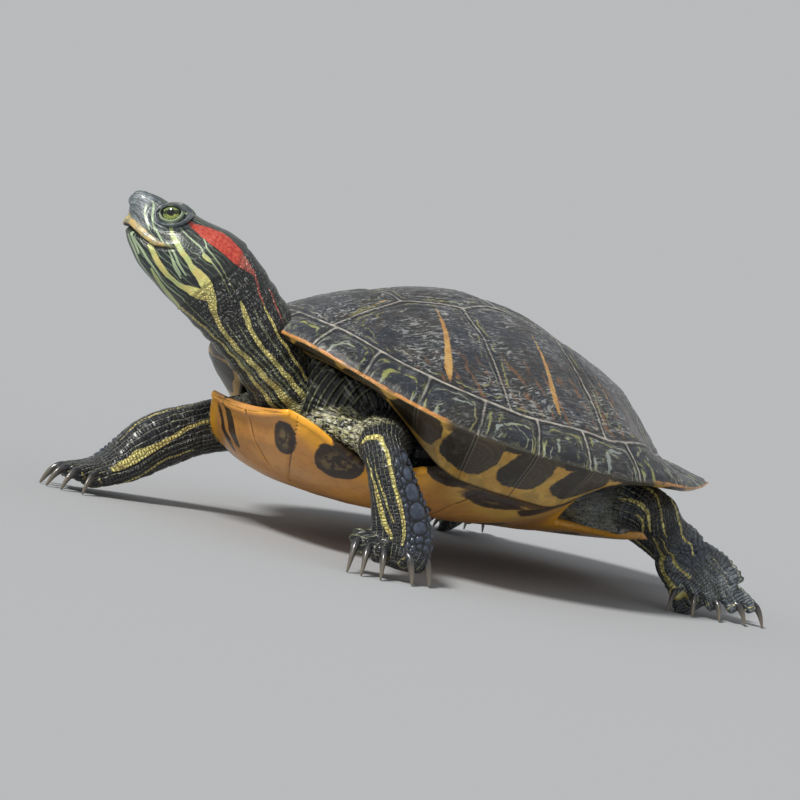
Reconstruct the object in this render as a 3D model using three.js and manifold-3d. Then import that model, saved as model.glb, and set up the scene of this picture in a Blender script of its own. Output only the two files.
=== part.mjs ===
// Red-eared slider turtle, adult, as a life-size still model at rest on its four feet.
// Millimetres, +Z up. The turtle faces -Y and its left side is +X. The head is turned to its right.
import * as THREE from 'three';
import { mergeVertices } from 'three/addons/utils/BufferGeometryUtils.js';
import Module from 'manifold-3d';

const wasm = await Module();
wasm.setup();

// ---- driving dimensions -------------------------------------------------------------------------
const SHELL_LENGTH = 200; // carapace, nose end to tail end, straight
const SHELL_WIDTH = 166;
const DOME_HEIGHT = 48; // dome above the rim plane
const DOME_FLATNESS = 0.16; // how far the crown is rounded off
const DOME_SHIFT = 4; // the crown sits a little ahead of the middle
const SHELL_PITCH = 10.2; // degrees, nose end up
const SHELL_ROLL = 1.9; // degrees, left side up
const SHELL_CENTRE_HEIGHT = 44;
const RIM_THICKNESS = 2.6;
const GAP = 0.3; // clearance between touching pieces
const PLASTRON_LEVEL = 14.6; // underside above the ground
const PLASTRON_THICKNESS = 4;
const HEAD_YAW = 42.8; // degrees, turned to its right
const HEAD_PITCH = 17.6; // degrees, snout up
const HEAD_ROLL = 4.2; // degrees, left side up
const EYE_LINE = [-26, -123.5, 99.8]; // head midline between the eyes
const EYE_RADIUS = 4.5;
const EYE_OFFSET = 7.6; // eyeball centre from the head midline
const MOUTH_LEVEL = -11.2; // mouth line below the eye line
const MOUTH_CORNER = -8.6; // mouth corner behind the eye line
const COLOURS = {
  carapace: [0x3a3c36, 0.45],
  plastron: [0xc98a3c, 0.5],
  flesh: [0x333a34, 0.55],
  jaw: [0xb39a4a, 0.45],
  eye: [0x9aa83a, 0.15],
  claw: [0x2c2a26, 0.4],
};

// ---- small helpers ------------------------------------------------------------------------------
const rad = (degrees) => (degrees * Math.PI) / 180;
const clamp = (x, low, high) => Math.min(high, Math.max(low, x));
const vec = (p) => new THREE.Vector3(p[0], p[1], p[2]);

function material(kind) {
  const [color, roughness] = COLOURS[kind];
  return new THREE.MeshStandardMaterial({ color, roughness, metalness: 0 });
}

// Closed geometry from a list of rings of equal length: walls between rings, a fan on each end.
function loft(rings) {
  const n = rings[0].length;
  const points = rings.flat();
  const first = new THREE.Vector3();
  const last = new THREE.Vector3();
  rings[0].forEach((p) => first.addScaledVector(p, 1 / n));
  rings[rings.length - 1].forEach((p) => last.addScaledVector(p, 1 / n));
  points.push(first, last);
  const index = [];
  for (let j = 0; j + 1 < rings.length; j += 1) {
    for (let i = 0; i < n; i += 1) {
      const a = j * n + i;
      const b = j * n + ((i + 1) % n);
      index.push(a, b, b + n, a, b + n, a + n);
    }
  }
  const end = (rings.length - 1) * n;
  for (let i = 0; i < n; i += 1) {
    const k = (i + 1) % n;
    index.push(k, i, rings.length * n);
    index.push(end + i, end + k, rings.length * n + 1);
  }
  const geometry = new THREE.BufferGeometry();
  geometry.setAttribute('position', new THREE.Float32BufferAttribute(points.flatMap((p) => [p.x, p.y, p.z]), 3));
  geometry.setIndex(index);
  return outward(geometry);
}

// Turns the faces outward if the signed volume is negative.
function outward(geometry) {
  const pos = geometry.getAttribute('position');
  const index = geometry.getIndex().array;
  const a = new THREE.Vector3();
  const b = new THREE.Vector3();
  const c = new THREE.Vector3();
  let volume = 0;
  for (let i = 0; i < index.length; i += 3) {
    a.fromBufferAttribute(pos, index[i]);
    b.fromBufferAttribute(pos, index[i + 1]);
    c.fromBufferAttribute(pos, index[i + 2]);
    volume += a.dot(b.cross(c));
  }
  if (volume < 0) {
    const turned = [];
    for (let i = 0; i < index.length; i += 3) {
      turned.push(index[i], index[i + 2], index[i + 1]);
    }
    geometry.setIndex(turned);
  }
  geometry.computeVertexNormals();
  return geometry;
}

function solidOf(geometry) {
  const bare = geometry.clone();
  bare.deleteAttribute('normal');
  if (bare.getAttribute('uv')) {
    bare.deleteAttribute('uv');
  }
  const merged = mergeVertices(bare, 1e-4);
  const vertProperties = new Float32Array(merged.getAttribute('position').array);
  const triVerts = new Uint32Array(merged.getIndex().array);
  return new wasm.Manifold(new wasm.Mesh({ numProp: 3, vertProperties, triVerts }));
}

// The geometry of a solid, without the slivers that a cut can leave beside the main body.
function geometryOf(solid) {
  const mesh = solid.getMesh();
  const triangles = Array.from(mesh.triVerts);
  const leader = Array.from({ length: mesh.vertProperties.length / 3 }, (_, i) => i);
  const find = (i) => {
    let k = i;
    while (leader[k] !== k) {
      leader[k] = leader[leader[k]];
      k = leader[k];
    }
    return k;
  };
  const at = (i) => vec(mesh.vertProperties.slice(3 * i, 3 * i + 3));
  for (let i = 0; i < triangles.length; i += 3) {
    leader[find(triangles[i])] = find(triangles[i + 1]);
    leader[find(triangles[i])] = find(triangles[i + 2]);
  }
  const volumes = new Map();
  for (let i = 0; i < triangles.length; i += 3) {
    const k = find(triangles[i]);
    const v = at(triangles[i]).dot(at(triangles[i + 1]).cross(at(triangles[i + 2])));
    volumes.set(k, (volumes.get(k) || 0) + v);
  }
  const main = [...volumes.entries()].sort((p, q) => q[1] - p[1])[0][0];
  const kept = [];
  for (let i = 0; i < triangles.length; i += 3) {
    if (find(triangles[i]) === main) {
      kept.push(triangles[i], triangles[i + 1], triangles[i + 2]);
    }
  }
  const geometry = new THREE.BufferGeometry();
  geometry.setAttribute('position', new THREE.BufferAttribute(new Float32Array(mesh.vertProperties), 3));
  geometry.setIndex(kept);
  geometry.computeVertexNormals();
  return mergeVertices(geometry, 1e-5);
}

// Uniform Catmull-Rom blend of the numbers in rows, at t rows along.
function blend(rows, t) {
  const last = rows.length - 1;
  const i = clamp(Math.floor(t), 0, last - 1);
  const f = t - i;
  const at = (k) => rows[clamp(k, 0, last)];
  return rows[i].map((_, k) => {
    const p0 = at(i - 1)[k];
    const p1 = at(i)[k];
    const p2 = at(i + 1)[k];
    const p3 = at(i + 2)[k];
    const lift = (2 * p0 - 5 * p1 + 4 * p2 - p3) * f * f + (3 * p1 - p0 - 3 * p2 + p3) * f * f * f;
    return p1 + 0.5 * ((p2 - p0) * f + lift);
  });
}

// One oval ring of a limb at t. A row is x, y, z, half width, rise, drop; side is the width direction.
function limbRing(rows, side, t, sides, grow) {
  const here = blend(rows, t);
  const back = vec(blend(rows, Math.max(0, t - 0.05)));
  const ahead = vec(blend(rows, Math.min(rows.length - 1, t + 0.05)));
  const along = ahead.sub(back).normalize();
  const across = vec(side).addScaledVector(along, -vec(side).dot(along)).normalize();
  const up = new THREE.Vector3().crossVectors(along, across);
  const ring = [];
  for (let i = 0; i < sides; i += 1) {
    const a = (2 * Math.PI * i) / sides;
    const high = Math.sin(a) > 0 ? here[4] : here[5];
    const p = vec(here).addScaledVector(across, (here[3] + grow) * Math.cos(a));
    ring.push(p.addScaledVector(up, (high + grow) * Math.sin(a)));
  }
  return ring;
}

// A length of limb between t0 and t1 as a closed solid, with a ring ahead of t0 if lead is given.
function limb(rows, side, t0, t1, steps, sides, grow = 0, lead = 0) {
  const rings = lead ? [limbRing(rows, side, t0 - lead, sides, grow)] : [];
  for (let j = 0; j <= steps; j += 1) {
    rings.push(limbRing(rows, side, t0 + ((t1 - t0) * j) / steps, sides, grow));
  }
  return loft(rings);
}

// ---- shell --------------------------------------------------------------------------------------
// Rim of the carapace at angle tau from the nose end: a forward, b left, c up, in the shell's frame.
function rimPoint(tau) {
  const w = Math.cos(tau);
  const a = (SHELL_LENGTH / 2) * w;
  const b = (SHELL_WIDTH / 2) * Math.sin(tau) * (1 + 0.03 * w);
  const waves = 2.5 * (1 + Math.cos(2 * tau)) + 2.8 * Math.cos(3 * tau) + 1.5 * (Math.cos(4 * tau) - 1);
  const tailRise = 13 * clamp((-w - 0.05) / 0.95, 0, 1);
  const noseRise = 1.4 * Math.max(w, 0) ** 4;
  return [a, b, waves + tailRise + noseRise];
}

// The dome: r runs from 0 at the crown to 1 at the rim.
function domePoint(tau, r) {
  const [a, b, c] = rimPoint(tau);
  const w = Math.cos(tau);
  const power = 1.64 * Math.max(w, 0) ** 2 + 1.2 * Math.max(-w, 0) ** 2 + 1.4 * (1 - w * w);
  const e = DOME_FLATNESS;
  const fall = ((r * r + e * e) ** (power / 2) - e ** power) / ((1 + e * e) ** (power / 2) - e ** power);
  const height = c * r ** 1.5 + DOME_HEIGHT * Math.max(0, 1 - fall) ** 0.909;
  return [a * r + DOME_SHIFT * (1 - r), b * r, height];
}

// The hollow side of the carapace: flared rim, then a shallow vault.
function underPoint(tau, r) {
  const [a, b, c] = rimPoint(tau);
  const vault = 13 * Math.max(0, 1 - (r / 0.86) ** 2);
  return [a * r + DOME_SHIFT * (1 - r), b * r, c * r ** 1.5 - RIM_THICKNESS - 1.5 * (1 - r) + vault];
}

function shellToWorld(p) {
  const pitch = rad(SHELL_PITCH);
  const roll = rad(SHELL_ROLL);
  const forward = new THREE.Vector3(0, -Math.cos(pitch), Math.sin(pitch));
  const level = new THREE.Vector3(0, Math.sin(pitch), Math.cos(pitch));
  const left = new THREE.Vector3(Math.cos(roll), 0, 0).addScaledVector(level, Math.sin(roll));
  const up = new THREE.Vector3(-Math.sin(roll), 0, 0).addScaledVector(level, Math.cos(roll));
  const out = new THREE.Vector3(0, 0, SHELL_CENTRE_HEIGHT);
  return out.addScaledVector(forward, p[0]).addScaledVector(left, p[1]).addScaledVector(up, p[2]);
}

function carapace(grow) {
  const around = 36;
  const outer = [0.09, 0.25, 0.42, 0.58, 0.72, 0.84, 0.93, 0.985, 1];
  const inner = [0.99, 0.86, 0.6, 0.3];
  const rings = [];
  const ringAt = (fn, r, lift) => {
    const ring = [];
    for (let i = 0; i < around; i += 1) {
      const p = fn((2 * Math.PI * i) / around, r);
      p[2] += lift;
      ring.push(shellToWorld(p));
    }
    rings.push(ring);
  };
  outer.forEach((r, j) => ringAt(domePoint, r, j === outer.length - 1 ? -0.7 : 0));
  inner.forEach((r) => ringAt(underPoint, r, -grow));
  return loft(rings);
}

// Plastron and bridges: rows of y, half width, midline height above PLASTRON_LEVEL, edge rise, edge power.
const PLASTRON_ROWS = [
  [-95, 22, 24.6, 2, 2],
  [-90, 28, 16.5, 3.5, 2],
  [-83, 33, 10, 4.5, 2],
  [-74, 36.5, 5.4, 5.5, 2],
  [-64, 39, 2.6, 6.5, 2.2],
  [-55, 44, 1, 10, 2.6],
  [-48, 61, 0.3, 23, 2.8],
  [-40, 76, 0, 32, 2.9],
  [-24, 79, 0, 33, 3],
  [-6, 80, 0, 31.5, 3],
  [12, 79.5, 0, 30.5, 3],
  [27, 77, 0, 29.5, 3],
  [37, 68, 0, 24, 2.9],
  [44, 47, 0.2, 10, 2.5],
  [54, 38, 0.5, 5, 2.2],
  [66, 36, 1, 3.5, 2],
  [78, 30, 1.8, 3, 2],
  [88, 19, 2.6, 2.5, 2],
];
const KEEL_SLOPE = Math.tan(rad(SHELL_ROLL));

// Height of the plastron's underside on a row at the fraction t of its half width.
function keelOnRow([, half, mid, rise, power], t) {
  return PLASTRON_LEVEL + mid + rise * Math.abs(t) ** power + KEEL_SLOPE * half * t;
}

function plastron(grow) {
  const across = 12;
  const rings = [];
  for (const row of PLASTRON_ROWS) {
    const ring = [];
    for (let i = 0; i <= across; i += 1) {
      const t = (2 * i) / across - 1;
      ring.push(new THREE.Vector3(row[1] * t, row[0], keelOnRow(row, t)));
    }
    for (let i = across; i >= 0; i -= 1) {
      const t = (2 * i) / across - 1;
      const thick = PLASTRON_THICKNESS * (1 - 0.45 * t * t) + grow;
      ring.push(new THREE.Vector3((row[1] - 1.2) * t, row[0], keelOnRow(row, t) + thick));
    }
    rings.push(ring);
  }
  return loft(rings);
}

// ---- head and neck ------------------------------------------------------------------------------
function headAxes() {
  const yaw = rad(HEAD_YAW);
  const pitch = rad(HEAD_PITCH);
  const roll = rad(HEAD_ROLL);
  const forward = new THREE.Vector3(-Math.sin(yaw) * Math.cos(pitch), -Math.cos(yaw) * Math.cos(pitch), Math.sin(pitch));
  const flat = new THREE.Vector3(Math.cos(yaw), -Math.sin(yaw), 0);
  const level = new THREE.Vector3().crossVectors(forward, flat);
  const left = flat.clone().multiplyScalar(Math.cos(roll)).addScaledVector(level, Math.sin(roll));
  const up = new THREE.Vector3().crossVectors(forward, left);
  return { forward, left, up };
}
const HEAD = headAxes();

// A point given as forward, left and up of the eye line, in the head's frame.
function headPoint(f, l, u) {
  return vec(EYE_LINE).addScaledVector(HEAD.forward, f).addScaledVector(HEAD.left, l).addScaledVector(HEAD.up, u);
}

// Rows of forward, up, half width, rise, drop, from the back of the skull to the tip of the snout.
const HEAD_SECTIONS = [
  [-22, -12, 15.3, 15.2, 16],
  [-14, -10.6, 15, 14.6, 15.6],
  [-7, -9.2, 13.8, 13.6, 13.6],
  [0, -7.6, 11.6, 12.6, 11.8],
  [5, -6.4, 9.4, 10.4, 10.4],
  [9, -5, 7.2, 8, 8.2],
  [12, -4, 5.2, 6.2, 6.2],
  [13.2, -3.8, 3, 4, 4],
];
// Rows of x, y, z, half width, rise, drop, from inside the body to the back of the skull.
const NECK_ROWS = [
  [2, -56, 40, 15, 13, 13],
  [0.5, -68, 44, 15, 13.2, 13],
  [-0.5, -79, 49, 14.5, 13, 12.8],
  [-1.5, -86.5, 56, 14, 12, 13],
  [-3, -93, 63, 13.8, 12.6, 13.6],
  [-6, -100, 70.5, 14.2, 13.8, 14.6],
];
function neckAndHeadRows() {
  const rows = NECK_ROWS.slice();
  for (const [f, u, half, rise, drop] of HEAD_SECTIONS) {
    const p = headPoint(f, 0, u);
    rows.push([p.x, p.y, p.z, half, rise, drop]);
  }
  return rows;
}
const NECK_AND_HEAD = neckAndHeadRows();
const SKULL_BACK = 5.55; // where the neck ends and the head begins, in rows

// A block that holds the lower jaw: below the mouth line, ahead of the mouth corner.
function jawBlock(grow) {
  const block = new THREE.BoxGeometry(60, 60, 30);
  block.translate(0, 0, -15 + grow);
  const slope = new THREE.Matrix4().makeBasis(HEAD.forward, HEAD.left, HEAD.up);
  slope.setPosition(headPoint(30 + MOUTH_CORNER - grow, 0, MOUTH_LEVEL));
  return block.applyMatrix4(slope);
}

function ball(centre, radius, wide, high) {
  const sphere = new THREE.SphereGeometry(radius, wide, high);
  sphere.translate(centre.x, centre.y, centre.z);
  return sphere;
}

// ---- limbs --------------------------------------------------------------------------------------
// Rows of x, y, z, half width, rise, drop, from inside the body to the roots of the toes.
// Each toe is its knuckle x, y, z and the x, y of the claw's tip, from the first toe to the fifth.
const LIMBS = {
  left_fore: {
    side: [0.64, 0.76, 0.1],
    rows: [
      [26, -54, 42, 12, 12, 12],
      [40, -66, 44, 11, 10.5, 10.5],
      [52, -77, 43, 8.2, 8, 8],
      [58, -80.5, 36, 7.6, 6.6, 6.6],
      [61, -79.5, 27, 9.2, 6.2, 6.2],
      [63.5, -77, 18, 10.2, 5.6, 5.6],
      [65.5, -76.5, 10, 10.4, 4.6, 4.6],
      [67, -77, 4.2, 7.6, 3.2, 4],
    ],
    names: ['left_upper_arm', 'left_forearm', 'left_forefoot'],
    splits: [0.7, 2.6, 5.2, 7],
    toes: [
      [60, -86, 10, 65, -92],
      [63.5, -84.5, 8.6, 69.5, -89.5],
      [67, -81.5, 7.8, 73.5, -84.5],
      [70, -76.5, 7.8, 76.8, -77],
      [70.5, -71, 9, 76.5, -69],
    ],
    bone: 2.5,
    claw: 1.5,
  },
  right_fore: {
    side: [-0.9, 0.35, 0.2],
    rows: [
      [-26, -54, 38, 12, 12, 12],
      [-36, -70, 33, 9, 10, 10],
      [-41, -84, 27.5, 7.6, 9, 9],
      [-44.5, -96, 20.5, 8, 9, 9],
      [-46.5, -106, 13, 9, 7, 7],
      [-48, -115.5, 8, 9.4, 5, 5],
      [-49, -122, 4.8, 8.6, 3.4, 4],
    ],
    names: ['right_upper_arm', 'right_forearm', 'right_forefoot'],
    splits: [0.7, 2.4, 4.5, 6],
    toes: [
      [-42, -121, 5.6, -38.5, -128],
      [-45.2, -125.5, 5.8, -43.5, -133.5],
      [-48.6, -127.5, 5.8, -49, -136],
      [-52, -127, 5.8, -54.5, -135],
      [-55.2, -124, 5.6, -60, -130.5],
    ],
    bone: 2.4,
    claw: 1.5,
  },
  left_hind: {
    side: [0.386, 0.922, 0],
    rows: [
      [30, 46, 38, 13, 12, 12],
      [46, 40, 35, 12, 10.5, 10.5],
      [57, 43, 31.5, 9.5, 8.5, 8.5],
      [60, 51, 28, 8, 7, 7],
      [60, 58, 24, 6.6, 6, 6],
      [60.5, 63.5, 18.5, 7, 5, 5],
      [64, 67.5, 12, 11, 3.6, 3.6],
      [67.5, 70.5, 6.4, 13, 2.4, 2.4],
    ],
    names: ['left_thigh', 'left_shank', 'left_hindfoot'],
    splits: [0.6, 2.3, 4.6, 7],
    toes: [
      [64.5, 58.5, 6, 67.5, 53.5],
      [67.5, 63.5, 5.6, 72, 60],
      [70.5, 70.5, 5.2, 76, 70],
      [73, 78, 5.4, 78.5, 80.5],
      [74, 84.5, 6.4, 78.5, 89],
    ],
    bone: 2.3,
    claw: 1.35,
  },
  right_hind: {
    side: [-0.386, 0.922, 0],
    rows: [
      [-30, 46, 36, 13, 12, 12],
      [-46, 40, 32, 12, 10.5, 10.5],
      [-58, 43, 27.5, 9.5, 8.5, 8.5],
      [-61.5, 51.5, 24, 8, 7, 7],
      [-62, 59, 20, 6.6, 6, 6],
      [-63, 65, 15.5, 7, 5, 5],
      [-67, 70, 10, 11, 3.4, 3.4],
      [-71, 73.5, 6, 13, 2.4, 2.4],
    ],
    names: ['right_thigh', 'right_shank', 'right_hindfoot'],
    splits: [0.6, 2.3, 4.6, 7],
    toes: [
      [-68.5, 61.5, 5.6, -72, 56.5],
      [-71.5, 67, 5.4, -76.5, 64.5],
      [-74, 74, 5.2, -79.5, 74.5],
      [-75.5, 81, 5.4, -80.5, 84],
      [-75.5, 87.5, 6, -79, 92.5],
    ],
    bone: 2.3,
    claw: 1.35,
  },
};
const TAIL_ROWS = [
  [0, 70, 30, 10, 9, 9],
  [1, 84, 25.5, 8, 7, 7],
  [3, 96, 19, 5.2, 5, 5],
  [6, 106, 12, 3.4, 3.2, 3.2],
  [10, 114, 6, 1.8, 1.7, 1.7],
  [13, 119, 3, 0.9, 0.9, 0.9],
];

// Toe k of a foot: where its bone starts in the foot, its knuckle, and the tip of its claw.
function toeLine(spec, k) {
  const [x, y, z, tipX, tipY] = spec.toes[k];
  const last = spec.rows.length - 1;
  const f = (2 * k) / (spec.toes.length - 1) - 1;
  const knuckle = new THREE.Vector3(x, y, z);
  const tip = new THREE.Vector3(tipX, tipY, 0.5);
  const palm = blend(spec.rows, last - 0.9);
  const across = vec(spec.side).normalize();
  const middle = vec(blend(spec.rows, last));
  const sign = Math.sign(knuckle.clone().sub(middle).dot(across) * f) || 1;
  const start = vec(palm).addScaledVector(across, 0.55 * palm[3] * f * sign);
  const go = tip.clone().sub(knuckle).normalize();
  return { start, knuckle, tip, go };
}

function toe(spec, k) {
  const { start, knuckle, go } = toeLine(spec, k);
  const end = knuckle.clone().addScaledVector(go, 1.6);
  const r = spec.bone;
  const rows = [
    [start.x, start.y, start.z, r, r, r],
    [knuckle.x, knuckle.y, knuckle.z, r * 0.95, r * 0.95, r * 0.95],
    [end.x, end.y, end.z, r * 0.6, r * 0.6, r * 0.6],
  ];
  return limb(rows, [-go.y, go.x, 0], 0, 2, 2, 6);
}

// A curved claw that leaves the toe along its line and bends down to the ground.
function claw(spec, k, grow) {
  const { knuckle, tip, go } = toeLine(spec, k);
  const r = spec.claw;
  const mid = knuckle.clone().lerp(tip, 0.5);
  const rows = [
    [knuckle.x, knuckle.y, knuckle.z + 0.3, r, r, r],
    [mid.x, mid.y, mid.z + 1, r * 0.78, r * 0.78, r * 0.78],
    [tip.x, tip.y, tip.z, 0.55, 0.55, 0.55],
  ];
  return limb(rows, [-go.y, go.x, 0], 0, 2, 2, 6, grow);
}

// ---- assembly -----------------------------------------------------------------------------------
const animal = new THREE.Group();
function addMesh(name, geometry, kind) {
  const mesh = new THREE.Mesh(geometry, material(kind));
  mesh.name = name;
  animal.add(mesh);
}

const below = new THREE.BoxGeometry(600, 600, 60);
below.translate(0, 0, -30);
const GROUND = solidOf(below);

const shellTop = solidOf(carapace(0));
const shellTopGrown = solidOf(carapace(GAP));
const shellBase = solidOf(plastron(0)).subtract(shellTopGrown);
const shellBaseGrown = solidOf(plastron(GAP));

// The trunk fills the shell between vault and plastron, waisted where the legs come out.
// Rows of y and half width.
const TRUNK_ROWS = [
  [-84, 15],
  [-80, 24],
  [-70, 31],
  [-58, 37],
  [-47, 52],
  [-38, 68],
  [-20, 74],
  [0, 76],
  [20, 74],
  [33, 66],
  [43, 48],
  [56, 35],
  [72, 29],
  [80, 23],
  [84, 15],
];
// Height of the plastron's underside at x, y.
function keelHeight(x, y) {
  let t = 0;
  while (t < PLASTRON_ROWS.length - 2 && PLASTRON_ROWS[t + 1][0] < y) {
    t += 1;
  }
  const f = clamp((y - PLASTRON_ROWS[t][0]) / (PLASTRON_ROWS[t + 1][0] - PLASTRON_ROWS[t][0]), 0, 1);
  const row = PLASTRON_ROWS[t].map((v, k) => v + f * (PLASTRON_ROWS[t + 1][k] - v));
  return keelOnRow(row, clamp(x / row[1], -1, 1));
}

function trunkBlob(grow) {
  const across = 8;
  const rings = TRUNK_ROWS.map(([y, half], j) => {
    const ring = [];
    const end = j === 0 || j === TRUNK_ROWS.length - 1;
    const at = y + (end ? Math.sign(y) * grow : 0);
    for (let i = 0; i <= across; i += 1) {
      const x = (half + grow) * ((2 * i) / across - 1);
      ring.push(new THREE.Vector3(x, at, keelHeight(x, y) + 2 - grow + (end ? 6 : 0)));
    }
    for (let i = across; i >= 0; i -= 1) {
      const t = (2 * i) / across - 1;
      const top = 44.5 + 9 * (1 - t * t) - 0.18 * y + 0.033 * half * t + grow - (end ? 8 : 0);
      ring.push(new THREE.Vector3((half - 1) * t, at, top));
    }
    return ring;
  });
  return loft(rings);
}
let trunk = solidOf(trunkBlob(0)).subtract(shellTopGrown).subtract(shellBaseGrown);
const trunkGrown = solidOf(trunkBlob(GAP));
const inside = trunkGrown;

addMesh('carapace', geometryOf(shellTop), 'carapace');
addMesh('plastron', geometryOf(shellBase), 'plastron');
addMesh('trunk', geometryOf(trunk), 'flesh');

// Whatever flesh leaves the trunk is trimmed by it and by the shell.
function trimmed(geometry) {
  return solidOf(geometry).subtract(inside).subtract(shellTopGrown).subtract(shellBaseGrown);
}

const straight = [HEAD.left.x, HEAD.left.y, HEAD.left.z];
const neck = trimmed(limb(NECK_AND_HEAD, straight, 0.4, SKULL_BACK - 0.02, 7, 14));
addMesh('neck', geometryOf(neck), 'flesh');

const skull = solidOf(limb(NECK_AND_HEAD, straight, SKULL_BACK + 0.02, NECK_AND_HEAD.length - 1, 11, 16));
const eyes = [1, -1].map((s) => headPoint(0, s * EYE_OFFSET, 0));
let head = skull.subtract(solidOf(jawBlock(GAP)));
for (const eye of eyes) {
  head = head.subtract(solidOf(ball(eye, EYE_RADIUS + GAP, 12, 8)));
}
addMesh('head', geometryOf(head), 'flesh');
addMesh('lower_jaw', geometryOf(skull.intersect(solidOf(jawBlock(0)))), 'jaw');
['left_eye', 'right_eye'].forEach((name, i) => {
  addMesh(name, geometryOf(solidOf(ball(eyes[i], EYE_RADIUS, 12, 8))), 'eye');
});

for (const [key, spec] of Object.entries(LIMBS)) {
  const cut = 0.035;
  const { splits } = spec;
  // Foot, then the two pieces above it, each trimmed clear of the piece below.
  let paw = solidOf(limb(spec.rows, spec.side, splits[2] + cut, splits[3], 4, 10));
  for (let k = 0; k < spec.toes.length; k += 1) {
    paw = paw.add(solidOf(toe(spec, k)));
  }
  const upperEnd = solidOf(limb(spec.rows, spec.side, splits[2] - 1, splits[2], 4, 10, GAP));
  paw = paw.subtract(upperEnd);
  for (let k = 0; k < spec.toes.length; k += 1) {
    paw = paw.subtract(solidOf(claw(spec, k, GAP)));
  }
  const lowerGrown = solidOf(limb(spec.rows, spec.side, splits[1], splits[2], 5, 10, GAP, cut));
  const lower = solidOf(limb(spec.rows, spec.side, splits[1], splits[2] - 0.001, 5, 10));
  const upper = solidOf(limb(spec.rows, spec.side, splits[0], splits[1], 5, 10)).subtract(lowerGrown);
  [upper, lower, paw].forEach((piece, j) => {
    const clear = piece.subtract(GROUND).subtract(inside).subtract(shellTopGrown).subtract(shellBaseGrown);
    addMesh(spec.names[j], geometryOf(clear), 'flesh');
  });
  for (let k = 0; k < spec.toes.length; k += 1) {
    const nail = solidOf(claw(spec, k, 0)).subtract(GROUND);
    addMesh(`${key}_claw_${k + 1}`, geometryOf(nail), 'claw');
  }
}
addMesh('tail', geometryOf(trimmed(limb(TAIL_ROWS, [1, 0, 0], 0.2, 5, 7, 8)).subtract(GROUND)), 'flesh');

// Origin at the middle of the footprint, on the ground.
const box = new THREE.Box3().setFromObject(animal);
const middle = box.getCenter(new THREE.Vector3());
animal.position.set(-middle.x, -middle.y, -box.min.z);

const turtle = new THREE.Group();
turtle.name = 'turtle';
turtle.add(animal);

export default turtle;
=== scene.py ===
"""Red-eared slider turtle, life size, at rest on its four feet with its head raised.

Pieces are worked out in millimetres in the turtle's own frame (it faces -Y, its left side is +X and
the floor is z = 0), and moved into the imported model's frame, in metres, as each mesh is written.
"""

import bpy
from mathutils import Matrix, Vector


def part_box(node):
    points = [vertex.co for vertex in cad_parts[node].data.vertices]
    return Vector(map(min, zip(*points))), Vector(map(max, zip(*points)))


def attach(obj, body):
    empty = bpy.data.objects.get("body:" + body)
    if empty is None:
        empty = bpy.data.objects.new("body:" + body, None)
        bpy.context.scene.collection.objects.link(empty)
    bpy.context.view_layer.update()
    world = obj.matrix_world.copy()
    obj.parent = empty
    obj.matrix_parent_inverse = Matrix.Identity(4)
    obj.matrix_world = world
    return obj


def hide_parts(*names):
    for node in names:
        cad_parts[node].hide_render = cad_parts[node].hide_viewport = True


bl_info = {
    "name": "Red-eared slider",
    "version": (1, 0, 0),
    "blender": (4, 5, 0),
    "location": "View3D > Sidebar > Slider",
    "description": "Shell, skin, eyes, claws and stage of a life-size red-eared slider",
    "category": "Add Mesh",
}

import math
from functools import cached_property

import bpy
import numpy as np
from mathutils import Euler, Vector

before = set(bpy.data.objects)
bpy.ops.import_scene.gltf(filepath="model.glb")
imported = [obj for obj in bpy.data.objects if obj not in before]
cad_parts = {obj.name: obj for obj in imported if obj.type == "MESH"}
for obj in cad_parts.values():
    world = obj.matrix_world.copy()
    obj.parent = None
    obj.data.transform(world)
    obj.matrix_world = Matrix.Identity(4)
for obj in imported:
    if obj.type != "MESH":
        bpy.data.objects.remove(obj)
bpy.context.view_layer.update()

# ---- sizes, in millimetres and degrees ----
MM = 0.001
MAP_SCALE = 0.1  # units of a piece's own map for each millimetre
SHELL_LENGTH = 200.0
SHELL_WIDTH = 166.0
DOME_HEIGHT = 48.0
DOME_FLATNESS = 0.16
DOME_SHIFT = 4.0
SHELL_PITCH = 10.2
SHELL_ROLL = 1.9
SHELL_CENTRE = np.array([0.0, 0.0, 44.0])
RIM_THICKNESS = 1.0
UNDER_FACE = 0.84
BRIDGE_DEPTH = 15.0
TAIL_FLARE = 8.2
PLASTRON_LEVEL = 14.6
PLASTRON_THICKNESS = 4.0
HEAD_YAW = 42.8
HEAD_PITCH = 17.6
HEAD_ROLL = 4.2
EYE_LINE = np.array([-26.0, -123.5, 99.8])
EYE_RADIUS = 4.5
EYE_OFFSET = 7.6


def eyeball_centre(side):
    """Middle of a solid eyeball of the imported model, in millimetres in the model's frame."""
    low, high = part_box(side + "_eye")
    return (np.array(low) + np.array(high)) / 2 / MM


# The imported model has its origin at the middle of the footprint.
SHIFT = (eyeball_centre("left") + eyeball_centre("right")) / 2 - EYE_LINE

# ---- numbers in arrays ----


def unit(v):
    """Vectors made one long."""
    return v / np.linalg.norm(v, axis=-1, keepdims=True)


def step(x, low, high):
    """Smooth step: 0 below low, 1 above high, 3x^2 - 2x^3 between."""
    x = np.clip((x - low) / (high - low), 0, 1)
    return x * x * (3 - 2 * x)


def window(x, low, inner_low, inner_high, high):
    """Smooth window: 1 between the inner ends, 0 beyond the outer ones."""
    return step(x, low, inner_low) * (1 - step(x, inner_high, high))


def bell(x, width):
    """Gaussian bell of height 1."""
    return np.exp(-((x / width) ** 2))


def circle(n):
    """Angles of n even steps round a circle."""
    return 2 * np.pi * np.arange(n) / n


def on_plane(x, y):
    """Points of the plane z = 0."""
    return np.stack([x, y, 0 * x], -1)


def run_length(path):
    """Distance along a path of points to each of them."""
    return np.concatenate([[0], np.cumsum(np.linalg.norm(np.diff(path, axis=0), axis=1))])


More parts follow.
